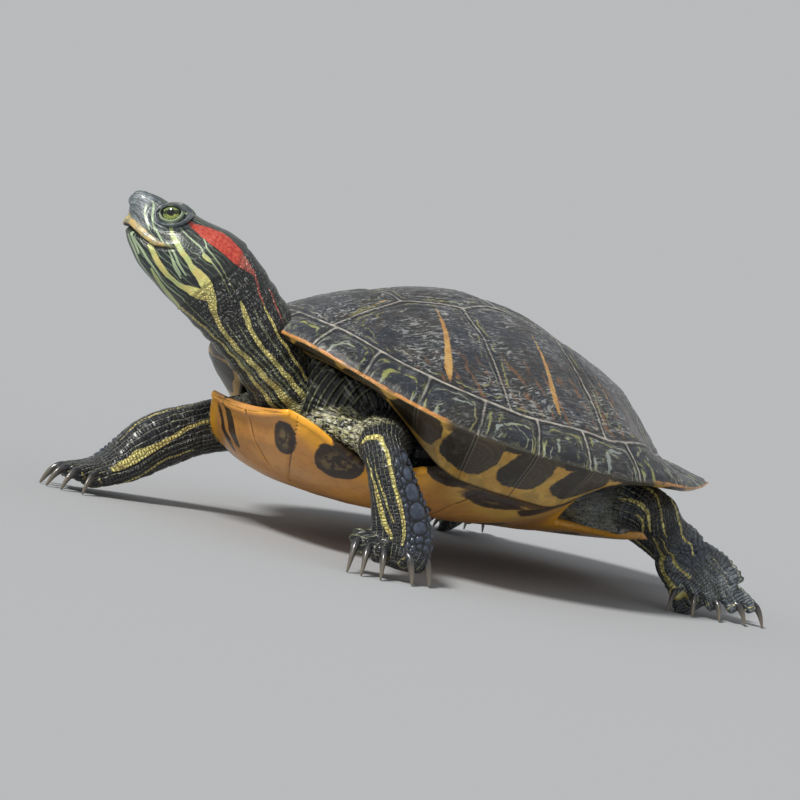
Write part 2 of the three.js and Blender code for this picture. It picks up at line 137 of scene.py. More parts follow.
def blend(rows, t):
    """Rows of numbers joined by uniform Catmull-Rom curves, read at t rows along."""
    rows = np.asarray(rows, float)
    t = np.asarray(t, float)
    last = len(rows) - 1
    i = np.clip(np.floor(t).astype(int), 0, last - 1)
    f = (t - i)[..., None]
    p0 = rows[np.clip(i - 1, 0, last)]
    p1 = rows[i]
    p2 = rows[i + 1]
    p3 = rows[np.clip(i + 2, 0, last)]
    lift = (2 * p0 - 5 * p1 + 4 * p2 - p3) * f**2 + (3 * p1 - p0 - 3 * p2 + p3) * f**3
    return p1 + 0.5 * ((p2 - p0) * f + lift)


LATTICE_VALUES = 4096  # a power of two
LATTICE_PRIMES = (73856093, 19349663, 83492791)  # one for each axis


def lumps(p, size, seed):
    """Smooth random lumps from -1 to 1: random corner values of a cubic lattice, blended smoothly."""
    table = np.random.default_rng(seed).uniform(-1, 1, LATTICE_VALUES)
    q = np.asarray(p, float) / size
    i = np.floor(q).astype(np.int64)
    f = q - i
    f = f * f * (3 - 2 * f)
    total = np.zeros(q.shape[:-1])
    for corner in np.ndindex(2, 2, 2):
        slot = np.bitwise_xor.reduce((i + corner) * LATTICE_PRIMES, axis=-1)
        weight = np.prod(np.where(corner, f, 1 - f), axis=-1)
        total += weight * table[slot & (LATTICE_VALUES - 1)]
    return total


def cells(x, y, size, seed, jitter):
    """Irregular cells in the plane: how far each point is from its cell's border. They are the cells
    nearest to the spots of a jittered brick lattice of the given size."""
    spots = np.random.default_rng(seed).random((64, 64, 3))
    row_height = 0.866
    v = np.asarray(y, float) / size / row_height
    u = np.asarray(x, float) / size
    row = np.floor(v).astype(int)
    near = np.full(u.shape, 9.0)
    second = np.full(u.shape, 9.0)
    for dv in (-1, 0, 1):
        r = row + dv
        shift = 0.5 * (r % 2)
        column = np.floor(u - shift).astype(int)
        for du in (-1, 0, 1):
            c = column + du
            spot = spots[r % 64, c % 64]
            cu = c + shift + 0.5 + jitter * (spot[..., 0] - 0.5)
            cv = r + 0.5 + jitter * (spot[..., 1] - 0.5)
            d = np.hypot(u - cu, (v - cv) * row_height)
            second = np.where(d < near, near, np.minimum(second, d))
            near = np.minimum(near, d)
    return (second - near) * size / 2


OUTSIDE = -9.0  # distance inside a marking that stands for far outside it


def band(chart, path, half_widths):
    """How far inside a stripe each point of a plane chart lies. The stripe follows a smooth curve
    through the path's points, and its half width runs from point to point in the same way."""
    rows = [list(p) + [w] for p, w in zip(path, half_widths)]
    fine = blend(rows, np.linspace(0, len(rows) - 1, 6 * (len(rows) - 1) + 1))
    best = np.full(chart.shape[:-1], -99.0)
    for p, q in zip(fine[:-1], fine[1:]):
        go = q[:2] - p[:2]
        t = np.clip(((chart - p[:2]) @ go) / max(go @ go, 1e-9), 0, 1)
        gap = np.linalg.norm(chart - (p[:2] + t[..., None] * go), axis=-1)
        best = np.maximum(best, p[2] + t * (q[2] - p[2]) - gap)
    return best


# ---- meshes ----


def grid_quads(rows, columns, wrap=True, loop=False):
    """Quads of a grid of vertices stored row by row; wrap joins the last column to the first, and
    loop the last row to the first."""
    j, i = np.meshgrid(np.arange(rows - (not loop)), np.arange(columns - (not wrap)), indexing="ij")
    k = (i + 1) % columns
    m = (j + 1) % rows
    return np.stack([j * columns + i, j * columns + k, m * columns + k, m * columns + i], -1).reshape(-1, 4)


def volume(points, quads):
    """Signed volume inside closed quads."""
    a, b, c, d = (points[quads[:, k]] for k in range(4))
    return (np.cross(b, c) * a).sum() + (np.cross(c, d) * a).sum()


def gathered(index, vectors, count):
    """Sum of the vectors that fall on each of count vertices."""
    return np.stack([np.bincount(index, vectors[:, k], count) for k in range(3)], -1)


def vertex_normals(points, quads):
    """Unit normals at the vertices, the sum of the faces' cross products."""
    face = np.cross(points[quads[:, 2]] - points[quads[:, 0]], points[quads[:, 3]] - points[quads[:, 1]])
    total = gathered(quads.ravel(), np.repeat(face, 4, axis=0), len(points))
    return total / np.maximum(np.linalg.norm(total, axis=1, keepdims=True), 1e-12)


def raised(points, quads, lift):
    """The points, each moved along its normal by its lift."""
    return points + vertex_normals(points, quads) * lift[:, None]


def relax(points, quads, times):
    """Moves each vertex half way to the mean of its neighbours, as often as said."""
    ends = np.concatenate([quads[:, [0, 1]], quads[:, [1, 2]], quads[:, [2, 3]], quads[:, [3, 0]]])
    count = np.maximum(np.bincount(ends[:, 0], minlength=len(points)), 1)[:, None]
    for _ in range(times):
        mean = gathered(ends[:, 0], points[ends[:, 1]], len(points)) / count
        points = points + 0.5 * (mean - points)
    return points


def add_object(name, data):
    """Adds an object that shows this data to the scene."""
    made = bpy.data.objects.new(name, data)
    bpy.context.scene.collection.objects.link(made)
    return made


def write_mesh(name, points, quads, uv=None, layers=None, scale=MM, shift=SHIFT):
    """A Blender object from arrays of vertices (millimetres) and quads. A quad whose last corner is
    repeated is written as a triangle. layers holds one number for each vertex under each name."""
    mesh = bpy.data.meshes.new(name)
    mesh.vertices.add(len(points))
    mesh.vertices.foreach_set("co", ((points + shift) * scale).astype(np.float32).ravel())
    triangle = quads[:, 3] == quads[:, 0]
    used = np.ones(quads.shape, bool)
    used[triangle, 3] = False
    corners = quads[used]
    mesh.loops.add(len(corners))
    mesh.loops.foreach_set("vertex_index", corners.astype(np.int32))
    sizes = used.sum(1)
    mesh.polygons.add(len(quads))
    mesh.polygons.foreach_set("loop_start", (np.cumsum(sizes) - sizes).astype(np.int32))
    mesh.polygons.foreach_set("use_smooth", np.ones(len(quads), bool))
    mesh.update(calc_edges=True)
    if uv is not None:
        mesh.uv_layers.new(name="chart").data.foreach_set("uv", uv[used].astype(np.float32).ravel())
    for layer, numbers in (layers or {}).items():
        attribute = mesh.attributes.new(layer, "FLOAT", "POINT")
        attribute.data.foreach_set("value", np.asarray(numbers, np.float32))
    mesh.validate()
    return add_object(name, mesh)


def add_piece(name, points, quads, layers, finish, stands_for=(), chart=None):
    """Makes a piece with its finish and slot, hides the solids it stands for and lets it ride."""
    piece = write_mesh(name, points, quads, chart, layers)
    piece.data.materials.append(finish)
    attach(piece, "root")
    if stands_for:
        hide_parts(*stands_for)


def pole(quads, ring, tip, turned=False):
    """Adds triangles from a closed ring of vertex numbers to one tip. A triangle is a quad whose
    last corner repeats its first."""
    ahead = np.roll(ring, -1)
    first, second = (ahead, ring) if turned else (ring, ahead)
    fan = np.stack([first, second, np.full(len(ring), tip), first], -1)
    return np.concatenate([quads, fan])


def turned_over(quads):
    """The same faces seen from the other side."""
    turned = quads[:, [2, 1, 0, 3]]
    triangle = quads[:, 3] == quads[:, 0]
    turned[triangle, 3] = turned[triangle, 0]
    return turned


def outward(points, quads):
    """The same quads, turned over if the volume inside them comes out negative."""
    return quads if volume(points, quads) > 0 else turned_over(quads)


def closed_tube(rings):
    """Vertices and quads of a closed tube from an array of rings, with a fan on each end."""
    rows, columns = rings.shape[:2]
    points = np.concatenate([rings.reshape(-1, 3), rings[:1].mean(1), rings[-1:].mean(1)])
    quads = grid_quads(rows, columns)
    quads = pole(quads, np.arange(columns), rows * columns, turned=True)
    quads = pole(quads, (rows - 1) * columns + np.arange(columns), rows * columns + 1)
    return points, outward(points, quads)


def joined(tubes):
    """Vertices and quads of several closed tubes as one mesh."""
    points, quads = [], []
    for rings in tubes:
        p, q = closed_tube(rings)
        quads.append(q + sum(len(v) for v in points))
        points.append(p)
    return np.concatenate(points), np.concatenate(quads)


# ---- shell: outlines ----


def rim(tau):
    """Rim of the shell at the angle tau from the nose end, as a forward, b left, c up: an ellipse
    with its level waved by cosines, and the tail end raised and drawn in at its corners."""
    w = np.cos(tau)
    corner = 1 - 0.02 * bell(np.abs(w) - 0.75, 0.22) * (w < 0)
    a = SHELL_LENGTH / 2 * w * corner
    b = SHELL_WIDTH / 2 * np.sin(tau) * (1 + 0.03 * w) * corner
    waves = 2.5 * (1 + np.cos(2 * tau)) + 2.8 * np.cos(3 * tau) + 1.5 * (np.cos(4 * tau) - 1)
    tail_rise = 13 * np.clip((-w - 0.05) / 0.95, 0, 1) + 3.0 * step(-w, 0.42, 0.8)
    nose_rise = 1.4 * np.maximum(w, 0) ** 4
    return a, b, waves + tail_rise + nose_rise


def dome(tau, r):
    """Outside of the shell from the crown (r = 0) to the rim (r = 1): the rim drawn in towards the
    crown, and a height that falls by a power of r which differs fore, aft and beside. Over the
    tail the marginals flare, so the height sags above them."""
    a, b, c = rim(tau)
    w = np.cos(tau)
    power = 1.64 * np.maximum(w, 0) ** 2 + 1.2 * np.maximum(-w, 0) ** 2 + 1.4 * (1 - w * w)
    e = DOME_FLATNESS
    fall = ((r * r + e * e) ** (power / 2) - e**power) / ((1 + e * e) ** (power / 2) - e**power)
    flare = np.minimum(1, (np.maximum(1 - r, 0) / 0.2) ** 0.7) * step(r, 0.55, 0.8) * step(-w, 0.15, 0.65)
    height = c * r**1.5 + DOME_HEIGHT * np.maximum(0, 1 - fall) ** 0.909 - TAIL_FLARE * flare
    return np.stack([a * r + DOME_SHIFT * (1 - r), b * r, height], -1)


def vault(tau, r):
    """Hollow side of the shell: a thin rounded rim, an under face of the marginals that falls steeply
    along the bridge, then a shallow vault."""
    a, b, c = rim(tau)
    face = np.where(r > UNDER_FACE, (1 - r) / (1 - UNDER_FACE), 1 - step(UNDER_FACE - r, 0, 0.06))
    lip = RIM_THICKNESS + 1.2 * step(1 - r, 0, 0.03)
    rise = 13 * np.maximum(0, 1 - (r / 0.8) ** 2)
    height = c * r**1.5 - lip - BRIDGE_DEPTH * bridge_share(tau) * face + rise
    return np.stack([a * r + DOME_SHIFT * (1 - r), b * r, height], -1)


def shell_axes():
    """Forward, left and up of the shell, pitched nose up and rolled left side up."""
    pitch, roll = math.radians(SHELL_PITCH), math.radians(SHELL_ROLL)
    forward = np.array([0, -math.cos(pitch), math.sin(pitch)])
    level = np.array([0, math.sin(pitch), math.cos(pitch)])
    left = np.array([math.cos(roll), 0, 0]) + level * math.sin(roll)
    up = np.array([-math.sin(roll), 0, 0]) + level * math.cos(roll)
    return np.stack([forward, left, up])


SHELL = shell_axes()


def from_shell(p):
    """Points of the shell's frame in the turtle's frame."""
    return SHELL_CENTRE + p @ SHELL


# ---- shell: scutes ----
# Corners are a forward and b left, in the shell's frame; the right side mirrors the left.
MARGINALS = 12
FIRST_MARGINAL = 20  # its scute number, well above those of the vertebrals and costals
RIM_TAU = np.linspace(0, math.pi, 721)
RIM_RUN = run_length(np.stack(rim(RIM_TAU)[:2], -1))
NUCHAL_HALF = 4.0
V1_BACK = (57.0, 12.3)
V2_SIDE = (33.3, 17.8)
V2_BACK = (14.0, 12.0)
V3_SIDE = (-8.0, 19.5)
V3_BACK = (-29.0, 12.0)
V4_SIDE = (-48.0, 17.5)
V4_BACK = (-59.0, 9.5)


def seam_angles():
    """Angle tau of each seam between marginals, from the nuchal to the middle of the tail end: equal
    steps along the rim that grow slightly towards the tail."""
    share = 1 + 0.156 * np.linspace(-1, 1, MARGINALS)
    marks = np.concatenate([[0], np.cumsum(share / share.sum())]) * (RIM_RUN[-1] - NUCHAL_HALF)
    return np.interp(NUCHAL_HALF + marks, RIM_RUN, RIM_TAU)


SEAM_TAU = seam_angles()


def bridge_share(tau):
    """How far the under face is turned down to the bridge: 0 away from it, 1 along it."""
    seam = np.interp(np.abs(tau), SEAM_TAU, np.arange(MARGINALS + 1))
    return window(seam, 1.9, 4.1, 5.7, 7.3)


def seam_run(tau):
    """Distance along the rim from the nearest seam between marginals, negative on its nose side, and
    that seam's number."""
    run = np.interp(np.abs(tau), RIM_TAU, RIM_RUN)
    seams = np.interp(SEAM_TAU, RIM_TAU, RIM_RUN)
    nearest = np.abs(run[..., None] - seams).argmin(-1)
    return run - seams[nearest], nearest


def ring_share(tau):
    """How far out the marginals begin, as r: 0.892 fore, 0.86 beside, 0.78 aft."""
    w = np.cos(tau)
    return 0.86 + 0.032 * np.maximum(w, 0) ** 2 - 0.075 * step(-w, 0.1, 0.6)


def on_ring(seam):
    """Plan point on the inner edge of the marginals at a seam number, which may be a fraction."""
    tau = np.interp(seam, np.arange(MARGINALS + 1), SEAM_TAU)
    return tuple(dome(tau, ring_share(tau))[:2])


def scute_plan():
    """Each scute on the left half: the corners along its seams, with the scute on their left, then
    its oldest point, where its growth rings begin."""
    c1_front, c12, c23, c34, c45 = (on_ring(seam) for seam in (0.9, 4.5, 6.5, 8.5, 10.4))
    v1_mid, v2_mid, v3_mid, v4_mid = (57, 0), (14, 0), (-29, 0), (-59, 0)
    return {
        "V1": ([c1_front, V1_BACK, v1_mid], (63, 0)),
        "V2": ([v1_mid, V1_BACK, V2_SIDE, V2_BACK, v2_mid], (25, 0)),
        "V3": ([v2_mid, V2_BACK, V3_SIDE, V3_BACK, v3_mid], (-19, 0)),
        "V4": ([v3_mid, V3_BACK, V4_SIDE, V4_BACK, v4_mid], (-52, 0)),
        "V5": ([v4_mid, V4_BACK, c45], (-69, 0)),
        "C1": ([c12, V2_SIDE, V1_BACK, c1_front], (44, 24)),
        "C2": ([c23, V3_SIDE, V2_BACK, V2_SIDE, c12], (6, 24)),
        "C3": ([c34, V4_SIDE, V3_BACK, V3_SIDE, c23], (-34, 23)),
        "C4": ([c45, V4_BACK, V4_SIDE, c34], (-64, 21)),
    }


def inside_line(a, b, side):
    """Distance of plan points to the left of the line from the first corner to the second."""
    (a0, b0), (a1, b1) = side
    length = math.hypot(a1 - a0, b1 - b0)
    return ((a1 - a0) * (b - b0) - (b1 - b0) * (a - a0)) / length


def inside_ring(a, b):
    """Distance of plan points inside the inner edge of the marginals."""
    tau = np.arctan2(b * SHELL_LENGTH / SHELL_WIDTH, a)
    r = np.hypot(2 * a / SHELL_LENGTH, 2 * b / SHELL_WIDTH)
    return (ring_share(tau) - r) * np.hypot(*rim(tau)[:2])


def scutes(tau, r):
    """Where points of the dome lie in their scutes. Each side of a scute is a line with a distance
    to it; a point belongs to the scute where the largest of 1 - distance / the oldest point's
    distance is least. The growth ring and the distance to the seam join the sides' values by a power
    sum, which rounds the corners. Returns the ring, 0 at the oldest point and 1 at a seam, the
    distance and the scute's number."""
    plan = dome(tau, r)
    a = plan[..., 0]
    b = np.abs(plan[..., 1])
    drift = plan * [1, 1, 0]
    a = a + 0.8 * lumps(drift, 12.0, 5) + 0.25 * lumps(drift, 4.5, 8)
    b = np.maximum(b + 0.8 * lumps(drift, 12.0, 6) + 0.25 * lumps(drift, 4.5, 9), 0)
    angle = np.abs(np.arctan2(np.sin(tau), np.cos(tau)))
    width = np.hypot(*rim(angle)[:2])
    ring_gap = (ring_share(angle) - r) * width + 0.7 * lumps(drift, 12.0, 7)
    best = np.full(a.shape, 9.0)
    ring = np.zeros(a.shape)
    gap = np.zeros(a.shape)
    number = np.zeros(a.shape)

    def offer(lines, oldest, around, inside, index):
        """Compares one scute: its straight sides, its side along a ring, and where it may lie."""
        nonlocal best, ring, gap, number
        pairs = [(inside_line(a, b, line), inside_line(*oldest, line)) for line in lines]
        sides = [(distance - inside, deep) for distance, deep in [*pairs, around]]
        shares = [1 - distance / max(deep, 0.1) for distance, deep in sides]
        share = np.max(shares, axis=0)
        mine = share < best
        best = np.where(mine, share, best)
        rounded = sum(np.clip(one, 0, 1) ** 4 for one in shares) ** 0.25
        ring = np.where(mine, np.minimum(rounded, 1), ring)
        nearest = sum(np.maximum(distance, 0.01) ** -2.6 for distance, deep in sides) ** (-1 / 2.6)
        gap = np.where(mine, nearest, gap)
        number = np.where(mine, index, number)

    inner = np.where(ring_gap > 0, 0, 50)
    for index, (corners, oldest) in enumerate(scute_plan().values()):
        offer(zip(corners, corners[1:]), oldest, (ring_gap, inside_ring(*oldest)), inner, index)
    seam_at = [on_ring(k) for k in range(MARGINALS + 1)]
    rim_at = [rim(t)[:2] for t in SEAM_TAU]
    outer = np.where(ring_gap < 0, 0, 50)
    for k in range(-1, MARGINALS):
        lines = [(rim_at[k + 1], seam_at[k + 1])]
        oldest = np.array([94.0, 0.0])
        if k >= 0:
            lines.append((seam_at[k], rim_at[k]))
            oldest = 0.93 * (0.3 * np.array(rim_at[k]) + 0.7 * np.array(rim_at[k + 1]))
        offer(lines, oldest, (-ring_gap, 9.0), outer, FIRST_MARGINAL + k)
    return ring, gap, number


# ---- shell: pieces ----
DOME_CELLS = 252  # along each side of the square that is rounded into the dome
UNDER_RINGS = np.concatenate([np.linspace(0.998, UNDER_FACE, 24), [0.833, 0.82, 0.8, 0.78, 0.74, 0.6, 0.3]])


def round_square(n):
    """Plan of a square grid of n cells rounded into a disc: x = u sqrt(1 - v^2 / 2), and so for y."""
    line = np.linspace(-1, 1, n + 1)
    u, v = np.meshgrid(line, line, indexing="ij")
    return u * np.sqrt(1 - v * v / 2), v * np.sqrt(1 - u * u / 2)


def shell_top():
    """The outside of the carapace: the dome on a rounded square grid, raised along its normals by a
    low swell on each scute and a fine ridge along each seam with a groove on both sides, a few
    growth steps beside the seams and long wrinkles that run fore and aft."""
    x, y = round_square(DOME_CELLS)
    tau = np.arctan2(y, x).ravel()
    r = np.minimum(np.hypot(x, y), 1).ravel()
    ring, gap, number = scutes(tau, r)
    points = dome(tau, r)
    n = DOME_CELLS + 1
    quads = grid_quads(n, n, wrap=False)
    if volume(points, quads) < 0:
        quads = quads[:, ::-1]
    marginal = number > FIRST_MARGINAL - 5
    swell = np.where(marginal, 0.45, 0.9) * (1 - ring**2)
    seam = 0.16 * bell(gap, 0.5) - 0.34 * bell(gap - 1.1, 0.5)
    wave = 0.5 * lumps(points, 16, 11)
    steps = 0.14 * np.sin(2 * np.pi * (gap / 2.5 + wave)) * window(gap, 1.6, 2.4, 5, 10)
    wrinkles = 0.10 * lumps(points * [0.2, 1, 0.5], 1.9, 14) * step(gap, 1.5, 3)
    rough = 0.16 * lumps(points, 6, 12) + 0.06 * lumps(points, 2.0, 13)
    edge = step(r, 0.975, 1)
    lift = (swell + seam + steps + wrinkles + rough) * (1 - edge) - 0.5 * edge
    points = raised(points, quads, lift)
    notch = 0.7 * bell(gap, 0.8) * step(r, 0.9, 1)
    points[:, :2] *= (1 - notch / 90)[:, None]
    return points, quads, tau, r, ring, gap, number


def costal_bars(plan):
    """How far inside a yellow bar of a costal or the first vertebral scute each plan point lies."""
    spot = np.stack([plan[:, 0], np.abs(plan[:, 1])], -1)
    bars = [
        ([(47, 20), (50, 30), (53.5, 40), (57, 48), (58.5, 52.5)], [0.3, 0.8, 1.2, 1.5, 0.3]),
        ([(10, 30), (12.5, 41), (15.5, 52), (18, 61), (19, 67)], [0.3, 0.6, 0.9, 1.1, 0.3]),
        ([(-14, 40), (-13, 50), (-13.5, 60)], [0.1, 0.4, 0.2]),
        ([(80, 16.5), (71, 14.4), (61, 11)], [0.2, 0.4, 0.3]),
    ]
    return np.max([band(spot, path, widths) for path, widths in bars], axis=0)


def under_blotches(tau, down):
    """Large dark rounded blotches under the marginals, one across each seam, as how far inside one
    each point lies. down is the distance from the rim over the under face, in millimetres."""
    off, nearest = seam_run(tau)
    spot = on_plane(off + 40.0 * nearest, down)
    wide = 10.4 + 0.8 * np.sin(2.1 * nearest)
    deep = 7.4 + 0.6 * np.cos(1.7 * nearest)
    lean = off + 0.18 * (down - 8)
    gap = (np.abs(lean / wide) ** 2.5 + np.abs((down - 7.6) / deep) ** 2.5) ** (1 / 2.5)
    return (1 - gap + 0.10 * lumps(spot, 5.0, 15)) * deep


def make_carapace(look):
    """Carapace as one closed mesh: its top, then rings from the rim over the marginals' under faces
    to the middle of the hollow side."""
    top, quads, tau, r, ring, gap, number = shell_top()
    n = DOME_CELLS + 1
    index = np.arange(n * n).reshape(n, n)
    border = np.concatenate([index[:-1, 0], index[-1, :-1], index[:0:-1, -1], index[0, :0:-1]])
    count = len(border)
    under = np.stack([vault(tau[border], share) for share in UNDER_RINGS]).reshape(-1, 3)
    first = n * n + np.arange(count)
    join = np.stack([border, np.roll(border, -1), np.roll(first, -1), first], -1)
    walls = np.concatenate([join, grid_quads(len(UNDER_RINGS), count) + n * n])
    walls = pole(walls, first + (len(UNDER_RINGS) - 1) * count, n * n + len(under))
    same_way = (quads == border[0]) & (np.roll(quads, -1, axis=1) == border[1])
    walls = turned_over(walls) if same_way.any() else walls
    points = np.concatenate([top, under, under[-count:].mean(0)[None]])
    extra = len(under) + 1
    under_tau = np.concatenate([np.tile(tau[border], len(UNDER_RINGS)), [0]])
    share = np.concatenate([np.repeat(UNDER_RINGS, count), [0]])
    down = 1 + (1 - share) / (1 - UNDER_FACE) * 18
    off = seam_run(under_tau)[0]
    spread = lambda above, below: np.concatenate([above, np.broadcast_to(below, extra)])
    layers = {
        "ring": spread(ring, 1),
        "seam": spread(gap, np.abs(off)),
        "scute": spread(number, 40),
        "outward": spread(r, 1),
        "under": spread(0 * r, down),
        "bar": spread(costal_bars(top), -9),
        "blotch": spread(0 * r - 9, under_blotches(under_tau, down)),
        "turn": np.abs(spread(tau, under_tau)),
        "behind": spread(0 * r, off),
    }
    quads = outward(points, np.concatenate([quads, walls]))
    points = from_shell(points)
    add_piece("carapace_plates", points, quads, layers, carapace_finish(look), ["carapace"])


# Plastron and bridges: rows of y, half width, midline height above PLASTRON_LEVEL, edge rise, power.
PLASTRON_ROWS = [
    [-95, 22, 24.6, 3, 2], [-90, 28.5, 16.5, 8.5, 3], [-83, 33.5, 10, 10.5, 3.4],
    [-74, 37.5, 5.4, 11, 3.6], [-64, 41, 2.6, 11.5, 3.6], [-50, 44, 0.4, 10, 3.2],
    [-30, 46, 0, 8, 3], [0, 46, 0, 7, 3], [14, 43, 0, 6, 2.8], [30, 38.5, 0, 5, 2.4],
    [44, 37.5, 0.2, 4, 2.2], [54, 37.5, 0.5, 3.5, 2.2], [66, 36, 1, 3.5, 2], [78, 30, 1.8, 3, 2],
    [88, 19, 2.6, 2.5, 2],
]
KEEL_SLOPE = math.tan(math.radians(SHELL_ROLL))


def bridge_edge(y):
    """Distance from the middle and height of the lower edge of the marginals' under faces at each y."""
    tau = np.interp(np.linspace(2.4, 7.4, 60), np.arange(MARGINALS + 1), SEAM_TAU)
    edge = from_shell(vault(tau, UNDER_FACE))
    return np.interp(y, edge[:, 1], edge[:, 0]), np.interp(y, edge[:, 1], edge[:, 2])


def bridge_reach(y):
    """How far the plastron is widened into its bridges at each y: 1 along them, 0 away from them."""
    return window(y, -62, -50, 0, 15)


def keel_rows(y):
    """Half width, midline height, edge rise and power of the plastron at each y: the lobes, widened
    along the bridge until they meet the marginals."""
    rows = np.array(PLASTRON_ROWS)
    t = np.interp(y, rows[:, 0], np.arange(len(rows)))
    lobe = blend(rows[:, 1:], t)
    edge, level = bridge_edge(y)
    rise = level - PLASTRON_LEVEL - lobe[..., 1] - KEEL_SLOPE * edge
    wide = np.stack([edge + 0.6, lobe[..., 1], rise + 0.5, 0 * y + 2.7], -1)
    return lobe + (wide - lobe) * bridge_reach(y)[..., None]


def keel_height(row, t):
    """Height of the plastron's underside at the fraction t of its half width, -1 at its right edge
    and 1 at its left: it rises as a power of t, less on the right where the front lobe curls up."""
    half, mid, rise, power = np.moveaxis(row, -1, 0)
    lean = 1 - 0.28 * (1 - t) * step(power, 2.75, 3.3)
    return PLASTRON_LEVEL + mid + rise * lean * np.abs(t) ** power + KEEL_SLOPE * half * t


def plastron_seams(x, y):
    """Distance to the nearest seam of the plastron: one along the middle and five across it, each a
    line that bends at the middle."""
    crossings = [(-71, -34), (-50, -6), (-24, -12), (22, -3), (54, 9)]
    wave = 0.6 * lumps(on_plane(x, y), 12, 21)
    gaps = [np.abs(x + wave)]
    for middle, sweep in crossings:
        slope = sweep / 36
        line = y - middle - slope * np.minimum(np.abs(x), 47) + wave
        gaps.append(np.abs(line) / math.hypot(1, slope))
    return np.min(gaps, axis=0)


def plastron_blotches(x, y):
    """How far inside a dark blotch of the plastron each point lies: one on each scute, long ovals
    with an uneven edge."""
    spots = [(16.5, -90.8, 5.4, 3.4), (-13, -91, 2.2, 5.5), (-19, -88, 1.6, 6), (-31, -70, 6, 9)]
    for ahead, out, wide, deep in ((-46, 33, 9, 7), (-8, 30, 11, 8), (36, 22, 9, 8), (70, 14, 6, 7)):
        spots += [(out, ahead, wide, deep), (-out, ahead, wide, deep)]
    wave = 0.12 * lumps(on_plane(x, y), 4, 22)
    slanted = [(28.8, -82.2), (32, -78.4), (35.6, -74.4)]
    best = band(np.stack([x, y], -1), slanted, [3.6, 4.6, 3.6]) + wave * 4
    for cx, cy, wide, deep in spots:
        gap = np.hypot((x - cx) / wide, (y - cy) / deep) + wave
        best = np.maximum(best, (1 - gap) * min(wide, deep))
    return best


def make_plastron(look):
    """Plastron and bridges: an oval profile carried along the keel, with rounded ends and a rolled
    edge, sunk by a groove along each seam, its bridges tucked under the marginals."""
    first, last = PLASTRON_ROWS[0][0], PLASTRON_ROWS[-1][0]
    turn = np.linspace(0, np.pi / 2, 9)[1:]
    past = 1.6 * np.sin(turn)
    y = np.concatenate([first - past[::-1], np.linspace(first, last, 320), last + past])
    close = np.concatenate([np.cos(turn[::-1]), np.ones(320), np.cos(turn)])
    row = keel_rows(np.clip(y, first, last))
    below, side, above = 181, 9, 61
    lap = np.linspace(0, np.pi, side + 2)[1:-1]
    t = np.concatenate([np.linspace(-1, 1, below), 1 + 0 * lap, np.linspace(1, -1, above), -1 + 0 * lap])
    bulge = np.concatenate([np.zeros(below), np.sin(lap), np.zeros(above), np.sin(lap)])
    top = np.concatenate([np.zeros(below), 0.5 - 0.5 * np.cos(lap), np.ones(above), 0.5 + 0.5 * np.cos(lap)])
    tt = np.broadcast_to(t, (len(y), len(t)))
    base = keel_height(row[:, None], tt)
    thick = PLASTRON_THICKNESS * (1 - 0.3 * tt**2)
    high = base + thick / 2 + (top - 0.5) * thick * close[:, None]
    half = row[:, :1] - 1.0 + 1.0 * bulge * close[:, None] - 1.2 * (1 - close[:, None])
    grid = np.stack([half * tt, np.broadcast_to(y[:, None], tt.shape), high], -1)
    points, quads = closed_tube(grid)
    x, yy, z = points.T
    lip = np.concatenate([np.tile(top, len(y)), [0, 0]])
    turn_in = np.concatenate([np.repeat(1 - close, len(t)), [1, 1]])
    down = bridge_edge(yy)[1] - z
    on_bridge = step(np.abs(x), 46, 54) * bridge_reach(yy)
    seam = plastron_seams(x, yy)
    gap = np.where(on_bridge > 0.5, np.minimum(seam, np.abs(down - 0.8)), seam)
    lift = -0.45 * bell(gap, 0.5) + 0.1 * bell(gap - 1.2, 0.5) + 0.15 * lumps(points, 9, 23)
    points = raised(points, quads, lift * (1 - lip))
    bridge = inframarginal_blotches(yy, down)
    layers = {
        "seam": seam,
        "blotch": np.where(on_bridge > 0.3, bridge, plastron_blotches(x, yy)),
        "bridge": on_bridge,
        "edge": np.maximum(np.abs(np.concatenate([np.tile(t, len(y)), [0, 0]])), turn_in),
        "down": np.where(on_bridge > 0.1, down, 9),
    }
    add_piece("plastron_plates", points, quads, layers, plastron_finish(look), ["plastron"])


def inframarginal_blotches(y, down):
    """Long dark bars on the bridge just below the marginals."""
    best = np.full(y.shape, -9.0)
    for at, low, wide, deep in ((-54, 0.5, 9, 2.6), (-33, 3.0, 12, 2.4), (-8, 3.4, 13, 2.6)):
        gap = np.hypot((y - at) / wide, (down - low - 0.3 * np.sin(y / 3)) / deep)
        best = np.maximum(best, (1 - gap) * deep)
    return best


# ---- head and neck ----


def head_axes():
    """Forward, left and up of the head, turned by yaw, pitch and roll."""
    yaw, pitch, roll = (math.radians(v) for v in (HEAD_YAW, HEAD_PITCH, HEAD_ROLL))
    forward = np.array([-math.sin(yaw) * math.cos(pitch), -math.cos(yaw) * math.cos(pitch), math.sin(pitch)])
    flat = np.array([math.cos(yaw), -math.sin(yaw), 0])
    level = np.cross(forward, flat)
    left = flat * math.cos(roll) + level * math.sin(roll)
    return np.stack([forward, left, np.cross(forward, left)])


HEAD = head_axes()


def from_head(p):
    """Points of the head's frame (forward, left, up from the eye line) in the turtle's frame."""
    return EYE_LINE + np.asarray(p, float) @ HEAD


def to_head(p):
    """Points of the turtle's frame in the head's frame."""
    return (p - EYE_LINE) @ HEAD.T


# Rows of x, y, z, half width, rise, drop, squareness of the top, from inside the body to the skull.
NECK_ROWS = [
    [2, -56, 40, 15, 13, 13, 2], [0.5, -68, 44, 15, 13.2, 13, 2],
    [-0.5, -79, 49, 14.5, 13, 12.8, 2], [-1.5, -86.5, 56, 14, 12, 13, 2],
    [-3, -93, 63, 13.8, 12.6, 13.6, 2], [-6, -100, 70.5, 14.2, 13.8, 14.6, 2],
]
